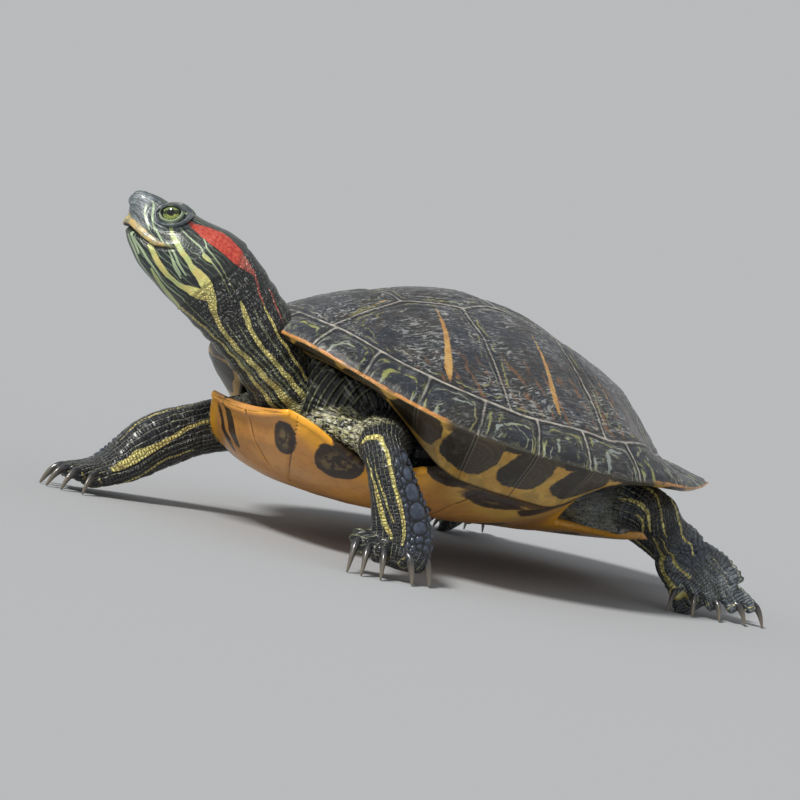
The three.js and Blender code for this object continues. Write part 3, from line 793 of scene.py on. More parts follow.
# Rows of forward, up, half width, rise, drop, squareness of the top, from the skull to the snout.
HEAD_SECTIONS = [
    [-22, -12, 15.3, 15.2, 16, 2.1], [-14, -10.6, 15, 14.6, 15.6, 2.3], [-7, -9.2, 13.8, 13.6, 13.6, 2.8],
    [0, -7.6, 11.6, 12.6, 11.8, 3.2], [5, -6.4, 9.4, 10.4, 10.4, 3], [9, -5, 7.2, 8.1, 8.6, 2.6],
    [12, -4.2, 5.4, 6.7, 7, 2.4], [13.7, -4, 4, 6, 6, 2.3], [14.8, -4.2, 2.4, 3.6, 4, 2.2],
    [15.1, -4.4, 0.3, 0.4, 0.4, 2],
]


def head_rows():
    """All rows of the neck and head in the turtle's frame."""
    sections = np.array(HEAD_SECTIONS)
    spots = from_head(np.stack([sections[:, 0], 0 * sections[:, 0], sections[:, 1]], -1))
    return np.concatenate([np.array(NECK_ROWS, float), np.concatenate([spots, sections[:, 2:]], 1)])


def path_frame(rows, side, t):
    """Rows read at t, with the directions there: along the path, across it towards side, and up."""
    here = blend(rows, t)
    ahead = blend(rows, np.minimum(t + 0.05, len(rows) - 1))
    behind = blend(rows, np.maximum(t - 0.05, 0))
    along = unit((ahead - behind)[:, :3])
    side = np.broadcast_to(np.asarray(side, float), along.shape)
    across = unit(side - (side * along).sum(1, keepdims=True) * along)
    return here, along, across, np.cross(along, across)


def tube_rings(rows, side, t, around):
    """Rings of an oval profile carried along a path. Rows are x, y, z, half width, rise, drop and
    squareness; the width lies along side, made square to the path. The ring at the angle g is the
    path's point + across w cos g + up h sin g, bulged for squareness n by (|cos|^n + |sin|^n)^(-1/n)."""
    here, _, across, up = path_frame(rows, side, t)
    g = circle(around)
    c, s = np.cos(g), np.sin(g)
    high = np.where(s > 0, here[:, 4:5], here[:, 5:6])
    n = np.where(s > 0, here[:, 6:7], 2.0) if here.shape[1] > 6 else 2.0
    bulge = (np.abs(c) ** n + np.abs(s) ** n) ** (-1 / n)
    wide = (here[:, 3:4] * c * bulge)[..., None] * across[:, None]
    tall = (high * s * bulge)[..., None] * up[:, None]
    return here[:, None, :3] + wide + tall


def whole_tube(rows, side, count, around):
    """Rings of a tube, as many as said, evenly from its first row to its last."""
    return tube_rings(rows, side, np.linspace(0, len(rows) - 1, count), around)


EYE_AXIS = unit(np.array([0.16, 1.0, 0.10]))  # where the left eye looks, in the head's frame
ORBIT = 6.4  # half the length of the orbit along the eye's slit
ORBIT_EDGE = ORBIT + 0.35  # where the lids end in the cheek
ORBIT_TALL = 0.74  # height of the orbit as a share of its length
EYE_TILT = 29.0  # how far the slit's front end lies below the head's own forward line, in degrees
NOSTRIL = np.array([13.9, 1.6, -0.6])  # the left one, in the head's frame
# Forward and up of the mouth's line, from its corner to the beak.
MOUTH = [
    (-7.2, -9.2), (-5.6, -9.9), (-3.4, -10.9), (0, -12.2), (4, -12), (7.3, -11.3), (11.6, -10.4),
    (14.4, -10.6),
]


def mouth_level(forward, left):
    """Height of the mouth's line at a place along the head; it dips under the hooked beak."""
    return np.interp(forward, *np.array(MOUTH).T) - 0.9 * bell(left, 1.6) * step(forward, 10, 12.5)


HEAD_RINGS = 372
HEAD_AROUND = 250  # vertices in each ring of the head and neck
HEAD_MAP_RADIUS = 13.0  # girth radius of its map


def head_and_neck_surface():
    """The bare head and neck: rings on the path from the snout's tip to inside the shell, evenly
    spaced along the skin. Returns points, quads, and for each point its length from the snout,
    its angle from the top of the head in degrees (left side positive) and the girth's radius."""
    rows = head_rows()[::-1]
    fine = np.linspace(0, len(rows) - 1.5, 1500)
    # the path's length and the change of half width together, so that the blunt snout is covered evenly
    length = run_length(blend(rows, fine)[:, :4])
    s = np.linspace(0, length[-1], HEAD_RINGS)
    t = np.interp(s, length, fine)
    here = blend(rows, t)
    radius = (here[:, 3] + (here[:, 4] + here[:, 5]) / 2) / 2
    points, quads = closed_tube(tube_rings(rows, HEAD[1], t, HEAD_AROUND))
    # the path runs backwards, so the rings' own up is down
    g = circle(HEAD_AROUND)
    angle = np.degrees(np.arctan2(np.cos(g), -np.sin(g)))
    spread = lambda v: np.concatenate([np.repeat(v, HEAD_AROUND), v[[0, -1]]])
    return points, quads, spread(s), np.concatenate([np.tile(angle, HEAD_RINGS), [0, 0]]), spread(radius)


def left_side(h):
    """Points of the head's frame, with those of the right side folded over onto the left."""
    return np.stack([h[:, 0], np.abs(h[:, 1]), h[:, 2]], -1)


def nostril_distance(h):
    """Distance from the middle of the nostril on the same side, for points of the head's frame."""
    return np.linalg.norm(left_side(h) - NOSTRIL, axis=1)


def bent_length(s, up):
    """Length from the snout, set back behind the jaw, as the edge of the smooth skin runs."""
    return s - 2.4 * bell(up + 6, 6)


def orbit_distance(h):
    """Distance from the axis of the eye on the same side, for points of the head's frame: the long
    way along its slit, the short way stretched to match; and the height along the axis."""
    axis, ahead, above = eye_axes(1)
    p = left_side(h) - [0, EYE_OFFSET, 0]
    return np.hypot(p @ ahead, p @ above / ORBIT_TALL), p @ axis, p @ above


def shape_head(points, quads, s):
    """Lids' hollows, mouth, nostrils, brow, jaw and folds, as offsets along the normals."""
    h = to_head(points)
    f, left, u = h.T
    q, out, over = orbit_distance(h)
    near_eye = step(out, -2.5, -1) * window(f, -11, -8.5, 9, 10.5)
    lift = -3.0 * (1 - step(q, 4.4, 6.1)) * near_eye
    lift += 0.3 * bell(q - 7.2, 0.7) * near_eye * (1 - step(over, -1, 2))
    lift -= 0.25 * bell(q - 8.6, 0.6) * near_eye
    gap = u - mouth_level(f, left)
    on_mouth = step(f, -7.6, -6.2)
    parted = step(f, 4, 11)
    lift -= (0.8 + 0.9 * parted) * bell(gap + 0.2 + 0.35 * parted, 0.35 + 0.3 * parted) * on_mouth
    lift += 0.4 * window(gap, 0.1, 0.5, 1.4, 2.6) * step(f, -8, -3)
    lift += 0.25 * bell(gap + 1.6, 0.9) * on_mouth
    nostril = nostril_distance(h)
    lift += 0.25 * bell(nostril - 1.1, 0.5) - bell(nostril, 0.62)
    ridge = band(np.stack([f, u], -1), [(13.2, 1.2), (9.6, 1.6), (6.6, 1.2)], [0.5, 0.5, 0.5])
    lift += 0.3 * bell(np.minimum(ridge, 0), 0.8) * (np.abs(left) > 1.5)
    lift += 0.7 * bell(np.hypot(f + 9, u + 12), 5.5) * (np.abs(left) > 6)
    fold = bent_length(s, u) - 42.6
    lift += 0.28 * bell(fold + 0.8, 0.9) - 0.3 * bell(fold - 0.3, 0.5)
    neck = step(s, 44, 56)
    lift += 0.16 * lumps(points, 5, 31) + neck * 0.22 * np.sin(s * 0.9 + 1.5 * lumps(points, 9, 32))
    return raised(points, quads, lift)


def mirror_chart(s, angle, radius):
    """Plane chart of the skin: length from the snout, and girth from the top, the same on both sides."""
    return np.stack([s, np.radians(np.abs(angle)) * radius], -1)


# Markings of the head and neck: length from the snout, degrees from the top, half width.
YELLOW_LINES = [
    # under the eye, back over the jaw angle to the broad patch
    [(20.5, 70, 0.4), (24, 79, 0.6), (28.5, 86, 0.8), (33.5, 90.5, 0.8), (38, 95, 1.1), (42, 99, 2),
     (45.5, 104, 1.9), (48.5, 110, 1.6), (51.5, 116, 1.1), (54.5, 121, 0.9), (58, 123, 0.9),
     (64, 123, 0.9), (71, 115, 1), (78, 106, 1.1), (84, 98, 1.3), (91, 92, 1.8), (100, 88, 2.2)],
    # along the lower jaw, joining the patch
    [(19, 112, 0.4), (22, 115, 0.7), (25.5, 119, 0.8), (30.5, 123, 0.8), (34, 124, 0.8), (38, 123.5, 1),
     (42, 117, 1.6), (45, 109, 1.9)],
    # second stripe of the neck
    [(53.5, 79, 0.3), (56, 82, 0.7), (59, 86, 0.9), (63.5, 90, 0.7), (69, 88.5, 0.7), (76.5, 80, 0.8),
     (84, 73, 1), (92, 70, 1.5), (100, 68, 1.8)],
    # chin
    [(26, 135, 0.3), (30, 142, 0.8), (34, 149, 1.2), (38, 157, 1.4), (43, 158, 1.2), (50, 150, 0.8),
     (60, 143, 0.6), (72, 134, 0.8), (84, 122, 0.9), (96, 112, 1.1)],
    # thin stripe that carries on behind the red
    [(57, 54, 0.2), (61, 57, 0.4), (67, 60, 0.5), (74.5, 56, 0.5), (81.5, 51, 0.6), (92, 49, 0.8)],
    # short spot behind the eye
    [(37.2, 72.5, 0.1), (38.6, 74.5, 0.75), (40.4, 76, 0.1)],
    # throat
    [(17, 178, 0.5), (26, 177, 0.9), (40, 177, 1.2), (60, 176, 1.2), (80, 170, 1.4)],
]
PALE_LINES = [
    [(31, 52, 0.2), (36, 63, 0.25), (43, 72, 0.2), (50, 78, 0.15)],
    [(24, 62, 0.2), (31, 67, 0.3), (36, 70, 0.25), (42, 77, 0.25), (50, 84, 0.15)],
    [(24, 92, 0.2), (28.5, 96, 0.25), (33, 103, 0.3), (37, 108, 0.2)],
    [(27, 99, 0.15), (31, 105, 0.25), (35, 111, 0.2)],
    [(29, 103, 0.15), (32.5, 110, 0.25), (36, 115, 0.2)],
    [(9, 50, 0.15), (11.5, 68, 0.3), (15, 84, 0.3), (20, 93, 0.25), (24, 96, 0.15)],
    [(8, 66, 0.2), (10, 82, 0.3), (13, 93, 0.25), (16, 98, 0.15)],
    [(12, 40, 0.3), (15, 44, 0.25), (18, 36, 0.2)],
    [(14, 129, 0.2), (20, 127, 0.3), (27, 131, 0.3), (34, 137, 0.25), (44, 138, 0.3), (58, 135, 0.3),
     (74, 126, 0.3)],
    [(12, 141, 0.3), (18, 142, 0.4), (24, 148, 0.4), (30, 158, 0.3)],
    [(10, 122, 0.2), (13, 131, 0.3), (19, 135, 0.3)],
    [(24, 168, 0.2), (34, 170, 0.4), (48, 168, 0.4), (62, 160, 0.4), (78, 150, 0.4), (92, 140, 0.4)],
    [(56, 112, 0.2), (64, 112, 0.3), (72, 103, 0.3), (82, 92, 0.4), (94, 84, 0.5)],
    [(58, 100, 0.2), (66, 101, 0.3), (74, 92, 0.3), (84, 82, 0.4)],
    [(58, 70, 0.2), (65, 75, 0.3), (73, 70, 0.3), (82, 62, 0.4), (92, 58, 0.5)],
    [(60, 30, 0.15), (70, 36, 0.25), (80, 34, 0.25), (92, 32, 0.3)],
    [(62, 132, 0.3), (72, 125, 0.4), (84, 112, 0.5), (96, 102, 0.7)],
    [(50, 12, 0.15), (62, 14, 0.2), (80, 14, 0.25)],
]
RED_EDGE_TOP = [(23.3, 43), (27, 37), (32, 29.5), (36, 27), (39.5, 28), (42, 31), (45.5, 33.5), (50.5, 38)]
RED_EDGE_LOW = [(23.3, 45), (27, 50), (31.5, 54.5), (36, 57), (40.5, 57), (43.5, 55), (47, 48), (50.5, 40)]
RED_LINE = [(48.5, 37, 0.5), (51, 42.5, 0.45), (55, 50, 0.4), (59, 56, 0.25)]
RED_LINE_ABOVE = [(56, 31, 0.2), (59, 34, 0.45), (63, 40, 0.3), (66, 43, 0.1)]


def lines_inside(chart, radius_at, lines):
    """Largest distance inside any of the lines, whose rows are length, degrees and half width."""
    best = np.full(len(chart), OUTSIDE)
    for line in lines:
        length, degrees, half = np.array(line, float).T
        path = np.stack([length, np.radians(degrees) * radius_at(length)], -1)
        best = np.maximum(best, band(chart, path, half))
    return best


def red_inside(s, angle, radius):
    """Distance inside the red patch, between an upper and a lower edge given over the length."""
    high = np.interp(s, *np.array(RED_EDGE_TOP).T)
    deep = np.interp(s, *np.array(RED_EDGE_LOW).T)
    a = np.abs(angle)
    across = np.minimum(a - high, deep - a) * np.radians(1) * radius
    along = np.minimum(s - RED_EDGE_TOP[0][0], RED_EDGE_TOP[-1][0] - s) * 0.6
    return np.minimum(across, along)


def head_layers(points, s, angle, radius):
    """Numbers that the skin's finish reads on the head and neck."""
    order = np.argsort(s)
    radius_at = lambda at: np.interp(at, s[order], radius[order])
    wobble = 0.22 * np.stack([lumps(points, 3.0, 41), lumps(points, 3.0, 42)], -1)
    chart = mirror_chart(s, angle, radius) + wobble
    h = to_head(points)
    f, left, u = h.T
    q, out, over = orbit_distance(h)
    gap = u - mouth_level(f, left)
    jaw_depth = np.interp(f, [-7.2, -3, 4, 12, 14], [0.3, 1.5, 3.0, 3.0, 4.6])
    jaw_band = np.minimum(gap - 0.1, jaw_depth - gap)
    slit = 0.3 + 0.35 * step(f, 5, 11) - np.abs(gap + 0.25)
    thin_red = lines_inside(chart, radius_at, [RED_LINE, RED_LINE_ABOVE])
    # where the painted sheen lies: the sides of the snout, and a pale crescent under the eye
    crescent = bell(q - 7.6, 1.0) * (1 - step(over, -2.0, 1.5)) * (out > 0)
    snout = step(f, 2, 8) * step(gap, 0.5, 3) * (1 - 0.75 * step(u, 1.2, 2.4))
    folded = bent_length(s, u)
    return plain_skin(
        len(points),
        yellow=lines_inside(chart, radius_at, YELLOW_LINES),
        pale=lines_inside(chart, radius_at, PALE_LINES),
        red=np.maximum(red_inside(s, angle, radius), thin_red),
        horn=np.where(f > -7.4, jaw_band, OUTSIDE),
        # painted shade: the mouth's slit and the nostrils near black
        dark=np.maximum(np.where(f > -7.2, slit, OUTSIDE), 0.75 - nostril_distance(h)),
        marble=step(s, 84, 96) * step(np.abs(angle), 40, 75),
        grain=step(folded, 41.5, 44.5),
        gloss=1 - step(s, 34, 46),
        snout=np.maximum(crescent * 0.8, snout),
        length=folded,
    )


def plain_skin(count, **known):
    """Numbers that the skin's finish reads where nothing else is said: plain scaly skin."""
    plain = dict.fromkeys(("yellow", "pale", "red", "horn", "dark"), OUTSIDE)
    plain |= dict.fromkeys(("marble", "gloss", "plates", "length", "snout", "columns"), 0.0)
    plain |= {"grain": 1.0, "plate_gap": 9.0}
    layers = {key: np.full(count, value) for key, value in plain.items()}
    return layers | {key: np.ravel(value) for key, value in known.items()}


def make_head(finish):
    """Skin of the head and neck as one closed mesh from the snout's tip to inside the shell."""
    points, quads, s, angle, radius = head_and_neck_surface()
    nape = window(s, 27, 33, 47, 54)
    points = points + (relax(points, quads, 30) - points) * nape[:, None]
    layers = head_layers(points, s, angle, radius)
    shaped = shape_head(points, quads, s)
    column = quads % HEAD_AROUND
    column[(column == 0) & (column.max(1, keepdims=True) == HEAD_AROUND - 1)] = HEAD_AROUND
    girth = 2 * np.pi * column / HEAD_AROUND * HEAD_MAP_RADIUS
    girth[quads[:, 3] == quads[:, 0]] = 0
    chart = np.stack([s[quads], girth], -1) * MAP_SCALE
    nodes = ["head", "neck", "lower_jaw"]
    add_piece("skin_head_and_neck", shaped, quads, layers, finish, nodes, chart)


# ---- eyes ----


def eye_axes(sign):
    """Outward axis, forward and up of an eye in the head's frame, turned with its slit; sign is 1
    left, -1 right."""
    axis = EYE_AXIS * [1, sign, 1]
    ahead = unit(np.array([1.0, 0, 0]) - axis[0] * axis)
    above = np.cross(ahead, axis) * sign
    above = above if above[2] > 0 else -above
    c, s = math.cos(math.radians(EYE_TILT)), math.sin(math.radians(EYE_TILT))
    return axis, ahead * c - above * s, above * c + ahead * s


def cheek(f, u):
    """Half width of the bare head at a place forward and up of the eye line, from its sections."""
    rows = np.array(HEAD_SECTIONS)
    middle, half, rise, drop, square = (np.interp(f, rows[:, 0], rows[:, k]) for k in range(1, 6))
    over = u > middle
    high = np.where(over, rise, drop)
    n = np.where(over, square, 2.0)
    share = np.clip(np.abs(u - middle) / high, 0, 1)
    return half * (1 - share**n) ** (1 / n)


def make_eyeball(name, sign, finish, node):
    """Eyeball: a sphere on polar rings round its axis, with the cornea raised as a low cap. Layers
    give the distances along and across the eye's slit."""
    axis, ahead, above = eye_axes(sign)
    centre = np.array([0, sign * EYE_OFFSET, 0])
    polar = np.linspace(0, np.pi, 110)[1:-1, None, None]
    turn = circle(128)[:, None]
    radius = EYE_RADIUS - 0.05 + 0.22 * bell(polar, 0.5)
    sideways = np.cos(turn) * ahead + np.sin(turn) * above
    rings = centre + radius * (np.cos(polar) * axis + np.sin(polar) * sideways)
    points, quads = closed_tube(from_head(rings))
    local = to_head(points) - centre
    layers = {"along": local @ ahead, "over": local @ above}
    add_piece(name, points, quads, layers, finish, [node])


def make_lids(name, sign, finish):
    """Eyelids: rings round the eye's axis from the edge of the almond opening out to the oval orbit.
    The edge rolls in to touch the ball, the lids follow a sphere, and the outer rings ease into the
    cheek. Height along the axis = sphere blended into cheek, with a crease and fine wrinkles."""
    axis, ahead, above = eye_axes(sign)
    centre = np.array([0, sign * EYE_OFFSET, 0])
    around, count = 220, 64
    turn = circle(around)
    c, s = np.cos(turn), np.sin(turn)
    tall = np.where(s > 0, 2.15, 2.75)
    long = np.where(c > 0, 3.8, 3.4)
    opening = (np.abs(c / long) ** 1.8 + np.abs(s / tall) ** 1.8) ** (-1 / 1.8)
    outer = ORBIT_EDGE / np.hypot(c, s / ORBIT_TALL)
    roll = np.array([0.55, 0.35, 0.15, 0.0, -0.05, 0.0, 0.1])
    sink = np.array([0.9, 0.62, 0.45, 0.25, 0.12, 0.03, 0.0])
    share = np.linspace(0, 1, count - len(roll) + 1)[1:] ** 1.1
    q = opening + 0.1 + (outer - opening - 0.1) * share[:, None]
    q = np.concatenate([opening - roll[:, None], q])
    dip = np.concatenate([np.repeat(sink[:, None], around, 1), np.zeros((len(share), around))])
    ball = EYE_RADIUS + 0.45
    sphere = np.sqrt(np.maximum(ball**2 - np.minimum(q, ball - 0.05) ** 2, 0))
    sphere = np.maximum(sphere - 0.55 * np.maximum(q - 4.2, 0), 1.2)
    f, u = q * c, q * s
    oval = q / outer * ORBIT_EDGE
    place = f[..., None] * ahead + u[..., None] * above
    flat = cheek(place[..., 0], place[..., 2]) - EYE_OFFSET + 0.15
    ease = step(oval, 4.2, 6.2)
    high = sphere * (1 - ease) + np.maximum(flat, -1.0) * ease
    high = high - dip - 0.9 * step(oval, ORBIT - 0.3, ORBIT_EDGE)
    level = q - opening
    upper = step(s, -0.25, 0.35)
    crease = 0.30 * bell(level - 1.25, 0.25) * upper + 0.2 * bell(level - 1.0, 0.22) * (1 - upper)
    fold = np.sin(level * 7.5 + 1.2 * np.sin(3 * turn)) * window(level, 0.3, 1.2, 2.2, 3.0)
    high = high - crease + 0.09 * fold + 0.14 * bell(level - 0.3, 0.25)
    q = np.concatenate([q, q[-1:], opening[None] + 0.8])
    level = q - opening
    f, u = q * c, q * s
    inner = np.sqrt(3.9**2 - np.minimum(q[-1:], 3.8) ** 2)
    high = np.concatenate([high, high[-1:] - 1.5, inner])
    grid = centre + f[..., None] * ahead + u[..., None] * above + high[..., None] * axis
    points = from_head(grid).reshape(-1, 3)
    quads = outward(points, grid_quads(len(q), around, loop=True))
    oval = q / outer * ORBIT_EDGE
    below = np.broadcast_to(1 - upper, q.shape)
    rim_pale = 0.26 + 0.2 * below - np.abs(level - 0.3)
    corner = 0.5 - np.hypot((f + 4.6) / 1.0, (u - 0.2) / 0.6)
    layers = plain_skin(
        level.size,
        pale=np.maximum(rim_pale * below - 0.12 * (1 - below), corner),
        # painted shade: dark lines at the lids' edges, between lid and eye
        dark=np.maximum(0.1 - level * 3, 0.16 - np.abs(level - 0.2) * 2 - below),
        grain=0 * level,
        gloss=0 * level + 1,
        length=0 * level + 17,
        # the sheen layer paints a pale blue-grey crescent low round the lower lid, and a fainter painted
        # sheen on the upper lid
        snout=0.95 * below * step(oval, 4.9, 5.7) + 0.3 * (1 - below) * step(oval, 3.4, 4.6),
    )
    add_piece(name, points, quads, layers, finish, chart=np.zeros(quads.shape + (2,)))


# ---- limbs ----
# side is the way the width lies. Rows of x, y, z, half width, rise, drop run from inside the body to the
# roots of the toes. A toe is its knuckle x, y, z and the x, y of its claw's tip, from the first to the fifth.
# bone and claw are radii, and reach is how many rows before the last the toes begin.
LIMBS = {
    "left_fore": {
        "side": [0.64, 0.76, 0.1],
        "rows": [
            [26, -54, 42, 11, 11, 11], [40, -68, 42, 9.5, 9, 9], [51, -78, 41.4, 7.5, 7.1, 7.4],
            [58.6, -79.7, 36, 7.3, 6.8, 6.8], [62.9, -77.3, 27, 8.5, 6.2, 6.2],
            [65.6, -74.6, 18, 10, 5.6, 5.6], [67.5, -74.2, 10, 10.4, 4.8, 4.8],
            [68.4, -75.3, 4.2, 8.6, 3.4, 4],
        ],
        "toes": [
            [60, -86, 9.6, 64.6, -92], [63.5, -84.5, 8.2, 69, -89.5], [67.4, -81.4, 7.6, 73.4, -84.8],
            [71, -75, 8, 77.4, -74.6], [71, -69, 9, 76.6, -66.4],
        ],
        "bone": 2.9,
        "claw": 2.5,
        "reach": 1.3,
    },
    "right_fore": {
        "side": [-0.9, 0.35, 0.2],
        "rows": [
            [-26, -54, 38, 12, 12, 12], [-36, -70, 33, 9, 10, 10], [-41, -84, 27.5, 7.6, 9, 10],
            [-44.5, -96, 20.5, 8, 9, 11.6], [-46.5, -106, 13, 9, 7, 9.6], [-48, -115.5, 8, 9.4, 5, 5],
            [-49, -122, 4.8, 8.6, 3.4, 4],
        ],
        "toes": [
            [-42, -121, 5.6, -38.5, -128], [-45.2, -125.5, 5.8, -43.5, -133.5],
            [-48.6, -127.5, 5.8, -49, -136], [-52, -127, 5.8, -54.5, -135],
            [-55.2, -124, 5.6, -60, -130.5],
        ],
        "bone": 2.5,
        "claw": 2.3,
        "reach": 1.3,
    },
    "left_hind": {
        "side": [0.386, 0.922, 0],
        "rows": [
            [30, 46, 38, 13, 12, 12], [46, 40, 35, 12, 10.5, 10.5], [57.5, 45.5, 33.2, 8.8, 8, 8],
            [60, 51.5, 28, 7.2, 6.3, 6.5], [60.2, 58.4, 24, 8.6, 5.2, 5.2],
            [60.3, 62.8, 18.5, 10.8, 4.2, 4.2], [65, 69.6, 12, 14.6, 3, 3],
            [68.7, 73.2, 6.4, 16, 1.8, 2.2],
        ],
        "toes": [
            [64.5, 58.5, 6, 67.5, 53.5], [68.5, 63.5, 5.6, 73.5, 60], [71.5, 70.5, 5.2, 77.5, 70],
            [74, 78, 5.4, 80, 80.5], [75, 85.5, 6.4, 79.5, 90],
        ],
        "bone": 2.5,
        "claw": 2.05,
        "reach": 2.3,
    },
    "right_hind": {
        "side": [-0.386, 0.922, 0],
        "rows": [
            [-30, 46, 36, 13, 12, 12], [-46, 40, 32, 12, 10.5, 10.5], [-58, 43, 27.5, 9.5, 8.5, 8.5],
            [-61.5, 51.5, 24, 8, 7, 7], [-62, 59, 20, 9, 5.6, 5.6], [-63, 65, 15.5, 11.5, 4.2, 4.2],
            [-67.4, 70.6, 10, 14.5, 3, 3], [-71.4, 74.4, 6, 15.5, 1.8, 2.2],
        ],
        "toes": [
            [-68.5, 61.5, 5.6, -72, 56.5], [-71.5, 67, 5.4, -76.5, 64.5], [-74, 74, 5.2, -79.5, 74.5],
            [-75.5, 81, 5.4, -80.5, 84], [-75.5, 87.5, 6, -79, 92.5],
        ],
        "bone": 2.5,
        "claw": 2.05,
        "reach": 2.3,
    },
}
SHOULDER_FOLDS = [
    [[3, -73, 46, 8, 8, 8], [16, -75, 42, 6.5, 6, 7], [30, -74.5, 41.6, 6, 5.2, 5],
     [42, -74.5, 41.6, 6, 4.8, 5], [52, -76.5, 41, 6, 5.4, 5.5]],
    [[-4, -76, 44, 8, 8, 8], [-16, -80, 39, 7, 6.5, 8], [-28, -78, 35, 7, 6.5, 7], [-38, -76, 32, 7, 7, 7]],
]
TAIL_ROWS = [
    [0, 70, 30, 10, 9, 9], [1, 84, 25.5, 8, 7, 7], [3, 96, 19, 5.2, 5, 5], [6, 106, 12, 3.4, 3.2, 3.2],
    [10, 114, 6, 1.8, 1.7, 1.7], [13, 119, 3, 0.9, 0.9, 0.9],
]
# Rows of y and half width of the body between the shells.
TRUNK_ROWS = [
    [-84, 15], [-80, 22], [-70, 28], [-58, 34], [-47, 44], [-38, 52], [-20, 58], [0, 59], [12, 59], [25, 57],
    [36, 52], [46, 45], [56, 37], [72, 29], [80, 23], [84, 15],
]
CLAW_TIP_LEVEL = 0.5
CLAW_CLEARANCE = 0.05
FLOOR_CONTACT = 0.15
FLOOR_SOFTNESS = 0.5
STRIPE_RADIUS = 8.0  # girth radius on which the limbs' stripes are drawn
LIMB_MAP_RADIUS = 9.0  # and the one of their maps


def toe_lines(limb):
    """For each toe: where its bone starts in the foot, its knuckle, its claw's tip and the way from
    knuckle to tip."""
    rows, toes = np.array(limb["rows"], float), np.array(limb["toes"], float)
    last = len(rows) - 1
    spread = np.linspace(-1, 1, len(toes))[:, None]
    knuckle = toes[:, :3]
    tip = np.concatenate([toes[:, 3:], np.full((len(toes), 1), CLAW_TIP_LEVEL)], 1)
    palm = blend(rows, last - limb["reach"])
    across = unit(np.array(limb["side"], float))
    sign = np.sign(((knuckle - rows[last, :3]) @ across)[:, None] * spread)
    start = palm[:3] + across * 0.62 * palm[3] * spread * np.where(sign == 0, 1, sign)
    return start, knuckle, tip, unit(tip - knuckle)


def limb_tubes(limb):
    """Closed tubes of a limb: its length, then each toe from inside the foot to past the knuckle."""
    tubes = [whole_tube(limb["rows"], limb["side"], 60, 36)]
    r = limb["bone"]
    for start, knuckle, _, go in zip(*toe_lines(limb)):
        toe = [
            [*start, r, r, r],
            [*(knuckle - go * 1.4 + [0, 0, 0.7]), r, r * 1.04, r],
            [*knuckle, r * 0.94, r, r * 0.9],
            [*(knuckle + 2.2 * go), r * 0.7, r * 0.66, r * 0.66],
        ]
        tubes.append(whole_tube(toe, [-go[1], go[0], 0], 20, 20))
    return tubes


def trunk_rings(first, last, shrink=0.0):
    """Rings of the body between the shells from y = first to y = last: flat below along the
    plastron, arched above under the vault."""
    y = np.linspace(first, last, 2 + int(abs(last - first) / 2))
    half = np.interp(y, *np.array(TRUNK_ROWS, float).T) - shrink
    keel = keel_rows(y)
    rings = []
    t = np.linspace(-1, 1, 25)
    for yy, h, row in zip(y, half, keel):
        low = keel_height(row[None], np.clip(h * t / row[0], -1, 1)) + 2.2 + shrink
        top = 44.5 + 9 * (1 - t**2) - 0.18 * yy + 0.033 * h * t - shrink
        bottom = np.stack([h * t, np.full(25, yy), low], -1)
        above = np.stack([(h - 1) * t, np.full(25, yy), top], -1)[::-1]
        rings.append(np.concatenate([bottom, above]))
    return np.array(rings)


def fuse(tubes, cell, rounds):
    """One closed skin round several closed tubes: a voxel remesh with the given cell, then the
    vertices relax towards their neighbours so that the joins flow."""
    rough = write_mesh("rough_skin", *joined(tubes), scale=1.0, shift=0.0)
    remesh = rough.modifiers.new("fuse", "REMESH")
    remesh.mode = "VOXEL"
    remesh.voxel_size = cell
    view = bpy.context.evaluated_depsgraph_get()
    mesh = bpy.data.meshes.new_from_object(rough.evaluated_get(view))
    skin = np.empty(len(mesh.vertices) * 3, np.float32)
    mesh.vertices.foreach_get("co", skin)
    corners = np.empty(len(mesh.loops), np.int32)
    mesh.loops.foreach_get("vertex_index", corners)
    bpy.data.objects.remove(rough)
    bpy.data.meshes.remove(mesh)
    skin, corners = skin.reshape(-1, 3).astype(float), corners.reshape(-1, 4)
    return relax(skin, corners, rounds), corners


def limb_chart(points, rows, side):
    """Where points lie along a limb: length from its first row in millimetres, angle round it in
    degrees from its outer side, distance from its middle line as a share of its girth, and girth."""
    t = np.linspace(0, len(rows) - 1, 160)
    here, along, across, up = path_frame(rows, side, t)
    path = here[:, :3]
    length = run_length(path)
    nearest = np.zeros(len(points), int)
    best = np.full(len(points), 1e9)
    for k in range(len(t)):
        gap = ((points - path[k]) ** 2).sum(1)
        closer = gap < best
        nearest[closer] = k
        best[closer] = gap[closer]
    off = points - path[nearest]
    s = length[nearest] + (off * along[nearest]).sum(1)
    x = (off * across[nearest]).sum(1)
    y = (off * up[nearest]).sum(1)
    girth = (here[:, 3] + here[:, 4]) / 2
    return s, np.degrees(np.arctan2(y, x)), np.hypot(x, y) / girth[nearest], girth[nearest]


def floor_line(points):
    """Presses whatever lies below the floor's contact level up onto it, with a soft edge."""
    z = points[:, 2]
    over = (z - FLOOR_CONTACT) / FLOOR_SOFTNESS - 1
    pressed = FLOOR_CONTACT + FLOOR_SOFTNESS * np.exp(np.minimum(over, 0))
    points[:, 2] = np.where(over < 0, pressed, z)
    return points


